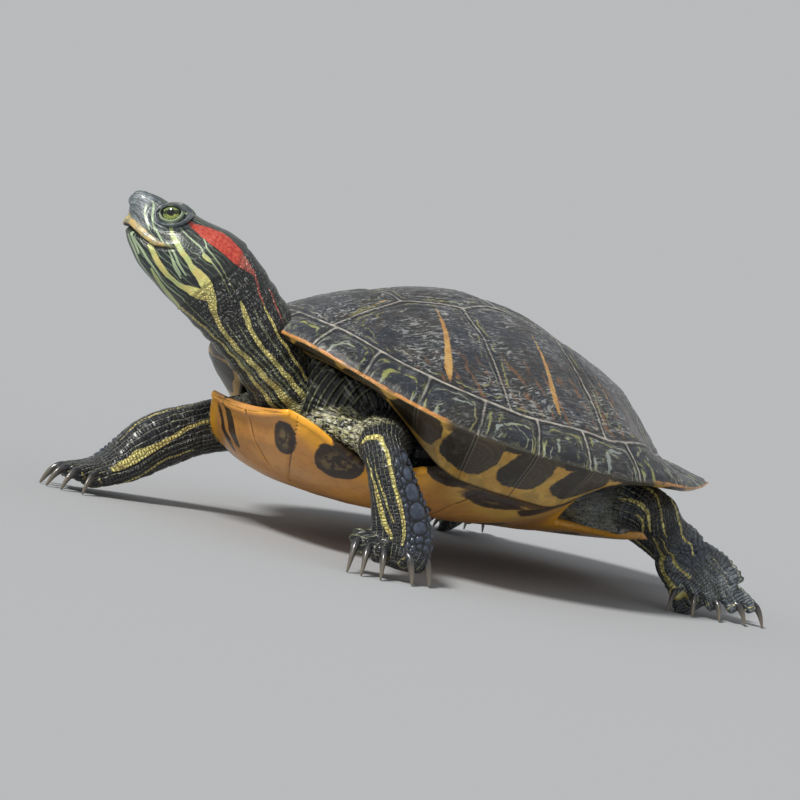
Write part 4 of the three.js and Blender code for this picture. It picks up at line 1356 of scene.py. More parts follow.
# Stripes of the limbs: length from the limb's first row, degrees round it, half width.
LIMB_LINES = {
    "left_fore": [
        [(42, 156, 0.3), (50.4, 144, 0.7), (57.3, 141, 1), (61, 139, 1), (65.3, 134, 0.9), (69, 122, 0.7)],
        [(37, 160, 0.4), (37.4, 135, 0.6), (39, 106, 0.8), (41.4, 96, 0.8), (46, 91, 0.8), (52.7, 84, 0.8),
         (57.3, 81, 0.85), (62, 80, 0.85), (67.4, 80, 0.8), (71, 84, 0.6)],
        [(44, 133, 0.2), (51.5, 126, 0.35), (57.3, 120, 0.35), (63, 112, 0.3)],
        [(40, -20, 0.4), (46, -16, 0.9), (51, -12, 0.6)],
        [(30, -100, 0.4), (46, -98, 0.8), (64, -96, 0.7), (74, -100, 0.5)],
    ],
    "right_fore": [
        [(28, -140, 0.4), (38.9, -146, 0.6), (47.7, -157, 0.8), (55.8, -160, 1.2), (60.8, -155, 1.6),
         (66.7, -159, 1.5), (72, -162, 0.9)],
        [(40, 150, 0.3), (54, 158, 0.5), (66, 150, 0.6), (74, 146, 0.4)],
        [(44, -40, 0.5), (56, -36, 1), (68, -30, 1)],
        [(30, 80, 0.4), (46, 84, 0.6), (62, 92, 0.5)],
        [(30, -90, 0.1), (46, -94, 0.2), (64, -96, 0.2)],
    ],
    "left_hind": [
        [(36, 140, 0.2), (40, 145, 0.7), (46, 150, 0.9), (52, 160, 0.9), (60, 166, 0.9), (66, 160, 0.5)],
        [(38, 118, 0.3), (45, 122, 0.6), (52, 130, 0.6), (60, 134, 0.4)],
        [(22, 166, 0.2), (27, 158, 0.7), (31, 150, 0.7), (34, 142, 0.2)],
        [(27, 182, 0.2), (32, 176, 0.8), (37, 166, 0.2)],
        [(18, 120, 0.3), (25, 112, 0.6), (32, 104, 0.5), (38, 100, 0.3)],
        [(18, 40, 0.5), (30, 40, 0.9), (42, 44, 0.6), (54, 52, 0.4)],
        [(20, -40, 0.5), (36, -36, 0.9), (48, -30, 0.7)],
    ],
    "right_hind": [
        [(20, 20, 0.5), (32, 20, 0.8), (44, 24, 0.8), (56, 28, 0.6)],
        [(20, -40, 0.5), (36, -36, 0.9), (48, -30, 0.7)],
        [(20, 90, 0.4), (36, 84, 0.8), (50, 92, 0.5)],
    ],
    "tail": [
        [(10, 60, 0.6), (30, 60, 0.7), (48, 70, 0.3)],
        [(10, 120, 0.6), (30, 120, 0.7), (48, 110, 0.3)],
        [(10, 0, 0.5), (30, 0, 0.6), (46, 0, 0.3)],
        [(10, 180, 0.5), (30, 180, 0.6), (46, 180, 0.3)],
        [(10, -80, 0.6), (34, -84, 0.5)],
    ],
}
# Where the raised scales are: middle angle, half spread, from and to along the limb, size.
LIMB_SCALES = {
    "left_fore": (26, 42, 41, 70, 2.5),
    "right_fore": (0, 60, 34, 70, 2.6),
    "left_hind": (30, 70, 42, 56, 2.2),
    "right_hind": (150, 70, 42, 56, 2.2),
    "tail": (0, 0, 0, 1, 2.0),
}
# The large plates down an arm's outer edge: length, angle, half length, half girth.
LIMB_PLATES = {
    "left_fore": [
        (44.5, 34, 2, 1.9), (49, 36, 2.6, 2.4), (54.8, 36, 3.2, 3.2), (60.8, 35, 3, 3.2),
        (66, 36, 2.3, 2.6),
    ],
    "right_fore": [
        (46, 0, 3, 2.8), (52, 0, 3.4, 3), (58.5, 0, 3.4, 3), (65, 0, 3, 2.8),
    ],
}


def wrapped(angle):
    """Angle in degrees brought into -180 to 180."""
    return (angle + 180) % 360 - 180


def toe_ends(limb):
    """Where the skin of each toe ends round its claw; none for the tail."""
    if "toes" not in limb:
        return []
    _, knuckle, _, go = toe_lines(limb)
    return knuckle + go


def limb_layers(points, names):
    """Numbers for the skin's finish on the limbs, where each vertex follows the limb it is closest to.
    Returns them with the angle round that limb and the distance from its middle line."""
    nearest = np.full(len(points), 99.0)
    layers = plain_skin(len(points))
    turn_round = np.zeros(len(points))
    wobble = 0.25 * np.stack([lumps(points, 3, 51), lumps(points, 3, 52)], -1)
    for name in names:
        limb = {"rows": TAIL_ROWS, "side": [1, 0, 0]} if name == "tail" else LIMBS[name]
        s, angle, share, girth = limb_chart(points, limb["rows"], limb["side"])
        mine = share < nearest
        nearest = np.where(mine, share, nearest)
        stripes = np.full(len(points), OUTSIDE)
        for turn in (-360, 0, 360):
            chart = np.stack([s, np.radians(angle + turn) * STRIPE_RADIUS], -1) + wobble
            inside = lines_inside(chart, lambda length: STRIPE_RADIUS, LIMB_LINES[name])
            stripes = np.maximum(stripes, inside)
        for tip_of_toe in toe_ends(limb):
            ring = np.linalg.norm(points - tip_of_toe, axis=1)
            stripes = np.maximum(stripes, 0.08 - np.abs(ring - 2.3 - 0.4 * lumps(points, 1.5, 53)))
        mid, spread, start, stop, size = LIMB_SCALES[name]
        off = wrapped(angle - mid)
        plates = window(s, start, start + 5, stop, stop + 6) * step(spread + 12 - np.abs(off), 0, 16)
        gap = cells(s, np.radians(off) * girth, size, 61, 0.6)
        for at, turn, half_s, half_g in LIMB_PLATES.get(name, []):
            far = np.hypot((s - at) / half_s, np.radians(wrapped(angle - turn)) * girth / half_g)
            far = np.hypot(far, 0.35 * np.abs((s - at) / half_s) ** 3)
            gap = np.where(far < 1.1, np.abs(1 - far) * half_g * 0.6, gap)
            plates = np.maximum(plates, step(1.25 - far, 0, 0.2))
        for key, value in (("plate_gap", gap), ("plates", plates), ("yellow", stripes), ("length", s)):
            layers[key] = np.where(mine, value, layers[key])
        turn_round = np.where(mine, angle, turn_round)
    return layers, turn_round, nearest


def corner_chart(quads, length, degrees):
    """Chart at the corners of faces: length, and girth from degrees, unwrapped within each face."""
    turn = degrees[quads]
    turn = turn - 360 * np.round((turn - turn[:, :1]) / 360)
    return np.stack([length[quads], np.radians(turn) * LIMB_MAP_RADIUS], -1) * MAP_SCALE


def make_limbs(name, finish, limbs, extra, cell, nodes):
    """One skin for a pair of limbs with the body skin between them: fused tubes, then raised plates
    on the limbs, creases across the joints and light wrinkles."""
    tubes = [rings for limb in limbs for rings in limb_tubes(LIMBS[limb])] + extra
    points, quads = fuse(tubes, cell, 6)
    quads = outward(points, quads)
    front = "left_fore" in limbs
    names = limbs if front else limbs + ["tail"]
    layers, turn_round, nearest = limb_layers(points, names)
    on_limb = 1 - step(nearest, 1.35, 1.8)
    plate = layers["plates"] * on_limb
    gap = layers["plate_gap"]
    lift = plate * (0.6 * step(gap, 0.03, 0.75) + 0.36 * step(gap, 0.3, 1.8) - 0.38)
    crease = np.abs(np.sin(layers["length"] * 0.62 + 0.9 * lumps(points, 6, 62)))
    lift -= 0.24 * bell(crease, 0.2) * (1 - plate)
    lift += 0.22 * lumps(points, 3.2, 63) * (1 - plate)
    body = 1 - on_limb
    centre, pitch = ([44, -62, 42], 2.5) if front else ([40, 44, 38], 2.4)
    away = np.linalg.norm(np.abs(points * [1, 0, 0]) + points * [0, 1, 1] - centre, axis=1)
    folds = np.sin(2 * np.pi * away / pitch + 1.3 * lumps(points, 12, 64))
    layers["pale"] = np.where(body > 0.5, 0.5 * (folds - 0.72) - 0.05, layers["pale"])
    lift += 0.4 * folds * body
    if front:
        reach = np.full(len(points), 99.0)
        for fold in SHOULDER_FOLDS:
            for spot in blend(np.array(fold, float)[:, :3], np.linspace(0, len(fold) - 1.3, 24)):
                reach = np.minimum(reach, np.linalg.norm(points - spot, axis=1))
        layers["marble"] = 1 - step(reach, 7.2, 9.4)
        layers["marble"] *= 1 - step(np.abs(points[:, 0]), 47, 54)
        lift -= 0.4 * folds * body * layers["marble"]
        lift += 0.35 * np.sin(np.abs(points[:, 0]) * 1.7 + 2 * lumps(points, 8, 66)) * layers["marble"]
    else:
        # the hind pocket skin painted paler grey and marbled, partly its own colour and partly painted light
        root = np.maximum(body, 1 - step(layers["length"], 18, 28))
        pocket = root * (1 - step(points[:, 1], 38, 46)) * step(np.abs(points[:, 0]), 30, 38)
        # painted sunlight: only the left hind foot is painted silvery through the sheen layer
        foot = on_limb * step(layers["length"], 36, 46) * (points[:, 0] > 25)
        layers["snout"] = 0.8 * pocket + 0.72 * foot
        layers["marble"] = 0.45 * pocket
    points = floor_line(raised(points, quads, lift))
    layers["plates"] = plate
    layers["columns"] = on_limb * (1 - plate)
    chart = corner_chart(quads, layers["length"], turn_round)
    add_piece(name, points, quads, layers, finish, nodes, chart)


def make_body_wall(finish):
    """Skin of the body deep between the shells, from one bridge's end to the other."""
    points, quads = closed_tube(trunk_rings(-62, 62, 0.8))
    # the rear pocket painted paler grey and marbled, partly its own colour and partly painted light
    pocket = step(points[:, 1], 2, 14) * (1 - step(points[:, 2], 38, 44))
    layers = plain_skin(len(points), snout=0.8 * pocket, marble=0.45 * pocket)
    chart = points[quads][..., 1:] * MAP_SCALE
    add_piece("skin_inside_shell", points, quads, layers, finish, chart=chart)


def make_claws(name, limb, finish, nodes):
    """Five claws of a foot: an oval horn carried along an arc from the knuckle down to the floor,
    its width falling as a power of what is left, with the underside flatter."""
    count, around = 44, 26
    t = np.linspace(0, 1, 30)[:, None]
    thick = limb["claw"] * (0.1 + 0.86 * (1 - 0.985 * t) ** 0.62)
    tubes = []
    for _, knuckle, tip, go in zip(*toe_lines(limb)):
        root = knuckle - go * 0.4 + [0, 0, 0.2]
        reach = np.linalg.norm(tip - knuckle)
        bend = knuckle + 0.5 * (tip - knuckle) + [0, 0, 1.5 + 0.15 * reach]
        end = tip - [0, 0, 0.2]
        # quadratic curve through the three points
        curve = root * (1 - t) * (1 - 2 * t) + bend * (4 * t * (1 - t)) + end * (t * (2 * t - 1))
        rows = np.concatenate([curve, 0.74 * thick, thick, 0.8 * thick], 1)
        tubes.append(whole_tube(rows, [-go[1], go[0], 0], count, around))
    points, quads = joined(tubes)
    points[:, 2] = np.maximum(points[:, 2], CLAW_CLEARANCE)
    to_tip = np.concatenate([np.repeat(np.linspace(0, 1, count), around), [0, 1]])
    add_piece(name, points, quads, {"to_tip": np.tile(to_tip, len(tubes))}, finish, nodes)


# ---- finishes ----


def arithmetic(operation, turned=False):
    """Method of a field that adds one Math node; turned swaps its two values."""

    def method(self, other):
        return self.math(operation, other, self) if turned else self.math(operation, self, other)

    return method


class Field:
    """One socket of a finish. Arithmetic on it, from either side, adds Math nodes."""

    def __init__(self, finish, socket):
        self.finish = finish
        self.socket = socket

    def math(self, operation, first, second=0.0, clamp=False):
        settings = {"operation": operation, "use_clamp": clamp}
        return self.finish.node("ShaderNodeMath", settings, {0: first, 1: second})

    __add__ = arithmetic("ADD")
    __radd__ = arithmetic("ADD", turned=True)
    __sub__ = arithmetic("SUBTRACT")
    __rsub__ = arithmetic("SUBTRACT", turned=True)
    __mul__ = arithmetic("MULTIPLY")
    __rmul__ = arithmetic("MULTIPLY", turned=True)
    __pow__ = arithmetic("POWER")

    def __abs__(self):
        return self.math("ABSOLUTE", self)

    def sine(self):
        return self.math("SINE", self)

    def fraction(self):
        return self.math("FRACT", self)

    def most(self, other):
        return self.math("MAXIMUM", self, other)

    def clamped(self):
        return self.math("ADD", self, 0.0, clamp=True)

    def step(self, low, high):
        """Smooth step from 0 at low to 1 at high; low may be the larger one."""
        rising = low < high
        ends = {1: min(low, high), 2: max(low, high), 3: float(not rising), 4: float(rising)}
        settings = {"interpolation_type": "SMOOTHSTEP"}
        return self.finish.node("ShaderNodeMapRange", settings, {0: self, **ends})


class Finish:
    """A material being made, with one way to add any node. base is its colour so far."""

    def __init__(self, name):
        self.material = bpy.data.materials.new(name)
        self.material.use_nodes = True
        self.tree = self.material.node_tree
        self.tree.nodes.clear()
        self.base = None

    def node(self, kind, settings=None, inputs=None, out=0):
        """Adds a node: its settings first, then the values or links of its sockets."""
        made = self.tree.nodes.new(kind)
        for key, value in (settings or {}).items():
            setattr(made, key, value)
        for key, value in (inputs or {}).items():
            socket = made.inputs[key]
            if isinstance(value, Field):
                self.tree.links.new(value.socket, socket)
            else:
                socket.default_value = value
        return None if out is None else Field(self, made.outputs[out])

    def layer(self, name):
        """The numbers that the mesh holds under this name."""
        return self.node("ShaderNodeAttribute", {"attribute_name": name}, out=2)

    @cached_property
    def place(self):
        """Object coordinates, in millimetres."""
        where = self.node("ShaderNodeTexCoord", out=3)
        return self.scaled(where, (1 / MM,) * 3)

    def chart(self):
        """The piece's own map, in millimetres along and round it."""
        return self.scaled(self.node("ShaderNodeUVMap", {"uv_map": "chart"}), (1 / MAP_SCALE,) * 3)

    def scaled(self, vector, factors):
        return self.node("ShaderNodeVectorMath", {"operation": "MULTIPLY"}, {0: vector, 1: factors})

    def parts(self, vector):
        """The first two numbers of a vector."""
        return [self.node("ShaderNodeSeparateXYZ", None, {0: vector}, out=k) for k in range(2)]

    def noise(self, size, detail=3.0, rough=0.55, colour=False, at=None):
        """Noise with lumps of this size, in millimetres of the place unless at is given."""
        inputs = {"Vector": at or self.place, "Scale": 1.0 / size, "Detail": detail, "Roughness": rough}
        return self.node("ShaderNodeTexNoise", None, inputs, out=1 if colour else 0)

    def cells(self, at, feature="F1", out=0, random=1.0):
        """Cells one unit wide: the distance to their middles, or as the feature says."""
        inputs = {"Vector": at, "Scale": 1.0, "Randomness": random}
        return self.node("ShaderNodeTexVoronoi", {"feature": feature}, inputs, out=out)

    def mix(self, share, first, second):
        """Colour: first where share is 0, second where it is 1."""
        return self.node("ShaderNodeMix", {"data_type": "RGBA"}, {0: share, 6: first, 7: second}, out=2)

    def paint(self, share, colour):
        """Lays a colour over the base, as thickly as share says."""
        self.base = self.mix(share, self.base, colour)

    def coated(self, rough, height, unit, strength, coat, coat_rough, **more):
        """Surface of the base under a clear coat. The bump is from a height in the given unit, metres."""
        bump = self.node("ShaderNodeBump", None, {"Height": height, "Distance": unit, "Strength": strength})
        fixed = {"Coat Weight": coat, "Coat Roughness": coat_rough, **more}
        return self.surface({"Base Color": self.base, "Roughness": rough, "Normal": bump}, fixed)

    def surface(self, varying, fixed):
        """Principled surface: what varies is linked, what doesn't is set on the socket itself."""
        shader = self.node("ShaderNodeBsdfPrincipled", None, {**fixed, **varying})
        self.node("ShaderNodeOutputMaterial", None, {"Surface": shader}, out=None)
        return self.material


def rgb(*display):
    """A colour socket's value from display values of 0 to 255."""
    linear = [((v / 255 + 0.055) / 1.055) ** 2.4 if v > 10 else v / 255 / 12.92 for v in display]
    return (*linear, 1.0)


def carapace_finish(look):
    """Wet-looking dark horn: blue black, mottled brown, with pale scratches and a painted silvery sheen
    along wrinkles that run fore and aft, painted shade in the grooves beside the seams, pale ridges
    along the seams, yellow bars on the costals, thin loops on the marginals, and yellow under faces
    with a dark blotch across each seam."""
    m = Finish("carapace_horn")
    ring, seam, outside, under = m.layer("ring"), m.layer("seam"), m.layer("outward"), m.layer("under")
    marginal = m.layer("scute").step(FIRST_MARGINAL - 4, FIRST_MARGINAL - 2)
    broad = m.noise(20, 2)
    mottle = m.noise(4.5, 4, 0.62)
    fine = m.noise(1.1, 4, 0.65)
    m.base = m.mix(broad.step(0.35, 0.65), look.horn, rgb(26, 26, 25))
    m.paint(mottle.step(0.48, 0.72) * (0.45 - marginal * 0.3), rgb(66, 52, 40))
    # long wrinkles, bent a little by a broad noise: pale scratches, with painted sheen along the wet ridges
    bend = m.noise(26, 2, colour=True)
    moved = {0: bend, 1: (9, 3, 12), 2: m.place}
    bent = m.node("ShaderNodeVectorMath", {"operation": "MULTIPLY_ADD"}, moved)
    thread = m.noise(1, 4, 0.6, at=m.scaled(bent, (1.5, 0.15, 1.2)))
    hair = m.noise(1, 3, 0.6, at=m.scaled(bent, (3.4, 0.3, 2.8)))
    across = m.noise(1, 3, 0.6, at=m.scaled(bent, (0.3, 0.4, 0.35)))
    scratches_and_sheen = thread.step(0.5, 0.6) * across.step(0.38, 0.56)
    scratches_and_sheen = scratches_and_sheen + hair.step(0.52, 0.62) * across.step(0.6, 0.4) * 0.45
    scratches_and_sheen = scratches_and_sheen * (m.noise(17, 2).step(0.38, 0.6) * 0.85 + 0.15) * (1 - marginal * 0.6)
    dots = fine.step(0.6, 0.7) * m.noise(7, 2).step(0.4, 0.58)
    # pale scratches and dots, and painted sheen: the silvery colour along the wrinkles stands for light on
    # the wet ridges
    m.paint((scratches_and_sheen * 0.75 + dots * 0.3).clamped(), look.scratch)
    # faint brown bars down the flanks
    x, y = m.parts(m.place)
    flank = abs(x).step(38, 52) * (1 - marginal)
    stripes = (y * 0.95 + m.noise(9, 2) * 9).sine().step(0.66, 0.98) * mottle.step(0.4, 0.56)
    m.paint(stripes * flank * 0.6, rgb(120, 82, 48))
    # loops on the marginals and growth lines beside the seams
    warp = m.noise(7, 3) - 0.5
    loops = ((ring + warp * 0.45) * 15).sine().step(0.66, 0.95) * m.noise(5, 3).step(0.44, 0.56)
    loops = loops * ring.step(0.1, 0.35) * (1 - ring.step(0.86, 0.95))
    m.paint(loops * marginal * 0.75, m.mix(broad.step(0.4, 0.6), rgb(150, 152, 78), rgb(142, 152, 148)))
    patch = (m.noise(3.2, 4, 0.6) - 0.57).step(0, 0.07) * marginal * m.noise(14).step(0.45, 0.6)
    m.paint(patch * 0.5, rgb(128, 136, 92))
    lines = abs(seam - 2.4 + warp * 4).step(0.34, 0.1) * m.noise(8, 2).step(0.44, 0.54)
    lines = lines + abs(seam - 4.6 + warp * 7).step(0.3, 0.1) * m.noise(6, 3).step(0.5, 0.58) * 0.8
    olive = m.mix(m.noise(12, 1).step(0.45, 0.6), rgb(146, 144, 84), rgb(164, 168, 156))
    m.paint(lines.clamped() * 0.6, olive)
    # painted shade in the grooves beside each seam, then the pale ridge
    m.paint(abs(seam - 0.95).step(0.55, 0.2) * 0.65, rgb(13, 14, 16))
    pale = m.mix(mottle.step(0.4, 0.7), look.seam_line, rgb(112, 112, 108))
    m.paint((seam + fine * 0.24 - 0.12).step(0.48, 0.2) * 0.92, pale)
    bar = (m.layer("bar") + m.noise(1.8, 3) * 1.3 - 0.65).step(-0.2, 0.3)
    gold = m.mix(y.step(-52, -50.5), rgb(116, 110, 54), look.bar)
    m.paint(bar * 0.92, m.mix(mottle.step(0.4, 0.6) * y.step(-52, -50.5), gold, rgb(164, 120, 62)))
    # rim: orange fore and aft, dark olive between
    turn = m.layer("turn") + m.noise(9, 2) * 0.3 - 0.15
    warm = 1 - turn.step(0.8, 0.95) * (1 - turn.step(1.75, 1.9))
    edge = (outside + m.noise(3, 2) * 0.008 - 0.004).step(0.994, 0.998)
    edge = edge * (m.noise(4, 3).step(0.36, 0.5) * 0.6 + 0.4)
    m.paint(edge * (0.2 + warm * 0.7), m.mix(warm, rgb(112, 104, 74), rgb(198, 134, 66)))
    # under faces
    yellow = m.mix(m.noise(7, 3).step(0.35, 0.65), look.under, rgb(182, 136, 54))
    yellow = m.mix((m.noise(6, 3) + under * 0.01).step(0.62, 0.7) * 0.5, yellow, rgb(146, 128, 70))
    fringe = (under - m.noise(4, 3) * 5).step(0.4, -0.6) * (1 - warm)
    blotch = (m.layer("blotch") + m.noise(2.4, 3) * 1.6 - 0.8).step(-0.3, 0.4).most(fringe)
    rings = (m.layer("blotch") * 4.6 + m.noise(5, 2) * 4).sine().step(0.3, 0.95)
    behind = m.layer("behind").step(-1.5, 1.5)
    dark = m.mix(behind, rgb(15, 14, 13), rgb(52, 45, 35))
    dark = m.mix(rings * 0.35, dark, m.mix(behind, rgb(44, 41, 35), rgb(84, 72, 52)))
    dark = m.mix(mottle.step(0.52, 0.7) * 0.4, dark, rgb(92, 88, 76))
    low = m.mix(blotch * 0.97, yellow, dark)
    specks = m.noise(1.3, 2).step(0.68, 0.74)
    low = m.mix(specks * 0.7, low, rgb(50, 34, 20))
    low = m.mix(seam.step(0.42, 0.18) * 0.85, low, m.mix(blotch, rgb(52, 38, 22), rgb(14, 13, 12)))
    low = m.mix(abs(seam - 0.62).step(0.2, 0.08) * blotch * 0.5, low, rgb(130, 126, 108))
    low = m.mix(under.step(17.6, 19.2), low, rgb(34, 26, 16))
    m.paint(under.step(0.7, 1.05), low)
    height = thread * 0.25 + hair * 0.1 + fine * 0.1 + lines * 0.08 + loops * 0.1
    rough = 0.3 + mottle * 0.16 + scratches_and_sheen * 0.1
    return m.coated(rough, height, unit=0.001, strength=0.8, coat=0.2, coat_rough=0.1)


def plastron_finish(look):
    """Amber horn: yellow to orange, with the rolled edge brighter, partly its own colour and partly
    painted glow of light through the edge, brown blotches with paler hearts, dark seams, fine scratches.
    """
    m = Finish("plastron_horn")
    broad = m.noise(18, 3)
    fine = m.noise(3, 4, 0.6)
    m.base = m.mix(broad.step(0.3, 0.7), look.amber, rgb(198, 138, 74))
    # painted glow: the rolled edge's bright orange-yellow is partly its own colour and partly light shining
    # through the horn
    lip = (m.layer("edge") + broad * 0.1 - 0.05).step(0.8, 0.97)
    m.paint(lip * 0.9, look.lip)
    growth = (m.layer("edge") * 70 + m.noise(14, 2) * 9).sine().step(0.86, 1) * fine.step(0.4, 0.6)
    m.paint(growth * 0.3 * (1 - lip), rgb(140, 88, 44))
    m.paint(fine.step(0.5, 0.75) * 0.3, rgb(156, 98, 44))
    bridge_colour = m.mix(broad.step(0.35, 0.65), look.under, rgb(190, 136, 62))
    m.paint(m.layer("bridge"), bridge_colour)
    edge = m.layer("blotch") + m.noise(2.2, 4, 0.6) * 1.2 - 0.6
    heart = edge.step(1.2, 2.6) * m.noise(3, 3).step(0.46, 0.6) * 0.7
    blot = m.mix(heart, m.mix(fine.step(0.4, 0.7), rgb(50, 38, 28), rgb(70, 52, 36)), rgb(132, 112, 70))
    m.paint(edge.step(-0.2, 0.3), blot)
    seam = m.layer("seam")
    m.paint(seam.step(0.42, 0.15) * m.noise(8).step(0.3, 0.55), rgb(44, 28, 16))
    long_seam = (abs(m.layer("down") - 0.8) + m.noise(3) * 1.2 - 0.6).step(1.3, 0.6)
    m.paint(long_seam * 0.85, rgb(40, 28, 16))
    specks = m.noise(1.2, 2).step(0.69, 0.75) * broad.step(0.5, 0.6)
    m.paint(specks * 0.6, rgb(40, 26, 16))
    scratch = m.noise(1.1, 4, 0.7, at=m.scaled(m.place, (1, 0.16, 1)))
    m.paint(scratch.step(0.62, 0.8) * 0.35, rgb(240, 200, 130))
    height = fine * 0.12 + scratch * 0.08
    glow = {"Subsurface Weight": 0.1, "Subsurface Scale": 0.002, "Subsurface Radius": (1, 0.5, 0.2)}
    return m.coated(0.34 + fine * 0.2, height, unit=0.001, strength=0.5, coat=0.25, coat_rough=0.16, **glow)


def skin_finish(look):
    """Black-green skin: rows of fine scales with pale dashes on the neck, partly pale scale borders and
    partly painted highlights, lengthwise columns of scales and raised plates on the legs with a painted
    highlight on each plate's top, beaded yellow stripes, marbled folds at the shoulders, a painted
    blue-grey sheen on the snout, which also paints the hind pockets and the left hind foot paler as
    painted light, the red patch, horn along the jaw, dark lines between the fine scales, and painted
    shade in the mouth's slit, the nostrils and at the lids' edges."""
    m = Finish("turtle_skin")
    chart = m.chart()
    along, round_it = m.parts(chart)
    grain, gloss, plates, columns = m.layer("grain"), m.layer("gloss"), m.layer("plates"), m.layer("columns")
    broad = m.noise(9, 3)
    fine = m.noise(1.6, 4, 0.6)
    warp = m.noise(5, 2)
    # fine scales: small cells on the neck, columns of flat scales on the legs
    small = m.cells(m.scaled(chart, (0.85, 1.1, 1)), "DISTANCE_TO_EDGE")
    lane = round_it * 0.5 + warp * 0.8
    brick = m.node("ShaderNodeCombineXYZ", None, {0: along * 0.8 + warp * 1.5, 1: lane})
    column = m.cells(brick, "DISTANCE_TO_EDGE", random=0.4)
    edge = column * columns + small * (1 - columns)
    m.base = m.mix(broad.step(0.35, 0.65), look.ground, rgb(27, 30, 30))
    m.paint(columns * 0.6, rgb(22, 24, 32))
    m.paint(gloss * 0.9, m.mix(fine.step(0.35, 0.7), look.face, rgb(44, 54, 54)))
    # painted sheen and light: streaky blue-grey sheen on the snout; the same layer gives the pale crescent
    # under the eye and paints the hind pockets and the left hind foot paler
    streak = m.noise(1, 3, at=m.scaled(chart, (0.12, 0.62, 1)))
    sheen = m.layer("snout") * (streak.step(0.42, 0.58) * 0.75 + 0.25)
    m.paint(sheen * 0.85, m.mix(fine.step(0.35, 0.65), rgb(96, 108, 118), rgb(148, 156, 162)))
    # hairlines of the face, pale dashes of the neck (pale scale borders with a painted highlight on each
    # scale), and pale threads between the columns of the legs
    hair = abs(((round_it + warp * 2.4) * 0.66).fraction() - 0.5).step(0.37, 0.45)
    hair = hair * gloss * broad.step(0.34, 0.5)
    m.paint(hair * 0.55, m.mix(sheen, rgb(142, 160, 128), rgb(44, 58, 60)))
    dashes = m.scaled(chart, (0.62, 1.2, 1))
    pick = m.node("ShaderNodeSeparateColor", None, {0: m.cells(dashes, out=1, random=0.45)})
    dash_and_glint = m.cells(dashes, random=0.45).step(0.42, 0.24) * (pick.step(-0.2, 0.6) * 0.9 + 0.1)
    dash_and_glint = dash_and_glint * grain * (1 - plates)
    m.paint(dash_and_glint * (0.3 + broad.step(0.4, 0.6) * 0.3) * (1 - columns * 0.8), rgb(164, 168, 160))
    between = abs((lane + 0.3).fraction() - 0.5).step(0.4, 0.46)
    between = between * (m.noise(0.9, 2).step(0.4, 0.52) * 0.8 + 0.2) * columns * broad.step(0.3, 0.45)
    m.paint(between * 0.8, m.mix(warp.step(0.4, 0.6), rgb(172, 174, 132), rgb(176, 180, 174)))
    # stripes, cut into beads
    beads = m.cells(m.scaled(chart, (0.62, 0.3, 1)), "DISTANCE_TO_EDGE", random=0.6).step(0.08, 0.02)
    beads = beads * (1 - gloss.step(0.05, 0.6))
    yellow = (m.layer("yellow") + fine * 0.5 - 0.25).step(-0.14, 0.14)
    tone = m.mix(gloss.step(0, 0.8), look.stripe, rgb(182, 196, 128))
    tone = m.mix(m.noise(6, 2).step(0.4, 0.65) * 0.6, tone, rgb(222, 194, 112))
    tone = m.mix(beads * (0.4 + columns * 0.3), tone, rgb(84, 78, 44))
    m.paint(yellow * 0.94, tone)
    pale = m.layer("pale").step(-0.14, 0.12)
    m.paint(pale * (0.55 + gloss * 0.35), m.mix(gloss, rgb(156, 164, 118), rgb(168, 188, 150)))
    # marbled folds
    flow = m.scaled(m.place, (0.2, 0.8, 1.5))
    veins = m.noise(1, 4, 0.6, at=flow) + m.noise(4, 2) * 0.3 - 0.15
    cloud = m.layer("marble").step(0.1, 0.8)
    cream = m.mix(fine.step(0.4, 0.6), rgb(196, 194, 168), rgb(170, 168, 118))
    m.paint(cloud * veins.step(0.45, 0.51), cream)
    # red patch
    red = (m.layer("red") + fine * 0.4 - 0.2).step(-0.15, 0.15)
    behind = m.layer("length").step(42.2, 43.2)
    red_tone = m.mix(m.noise(1.4, 3).step(0.35, 0.7), look.red, rgb(196, 84, 62))
    red_tone = m.mix(behind * 0.7, red_tone, m.mix(dash_and_glint, rgb(176, 88, 74), rgb(222, 186, 170)))
    m.paint(red * 0.96, red_tone)
    horn = (m.layer("horn") + m.noise(1.5, 2) * 0.7 - 0.35).step(-0.2, 0.5)
    m.paint(horn * 0.9, m.mix(m.noise(2, 3).step(0.4, 0.65), rgb(196, 170, 106), rgb(140, 140, 112)))
    m.paint(edge.step(0.12, 0.02) * grain * (1 - plates) * 0.6, rgb(10, 12, 11))
    # painted shade: near black in the mouth's slit, the nostrils and at the lids' edges
    m.paint(m.layer("dark").step(-0.1, 0.25), rgb(12, 10, 9))
    # raised plates, with a painted highlight: paler towards the middle of each top
    gap = m.layer("plate_gap") + fine * 0.16 - 0.08
    plate_and_highlight = m.mix(fine.step(0.4, 0.7), rgb(15, 18, 27), rgb(30, 35, 46))
    plate_and_highlight = m.mix(gap.step(0.1, 0.5) * (0.3 + fine.step(0.35, 0.65) * 0.35), plate_and_highlight, rgb(88, 100, 122))
    m.paint(plates * (1 - yellow) * 0.85, plate_and_highlight)
    m.paint(gap.step(0.24, 0.06) * plates * 0.95, rgb(7, 8, 9))
    height = edge.step(0, 0.3) * (1 - plates) * (grain * 0.9 + 0.1) * (1 + columns * 0.5)
    height = height + fine * 0.3 - yellow * beads * 0.4 - hair * 0.15
    rough = 0.38 - plates * 0.22 - gloss * 0.08 + fine * 0.12
    return m.coated(rough, height, unit=0.0004, strength=0.9, coat=0.25, coat_rough=0.18)


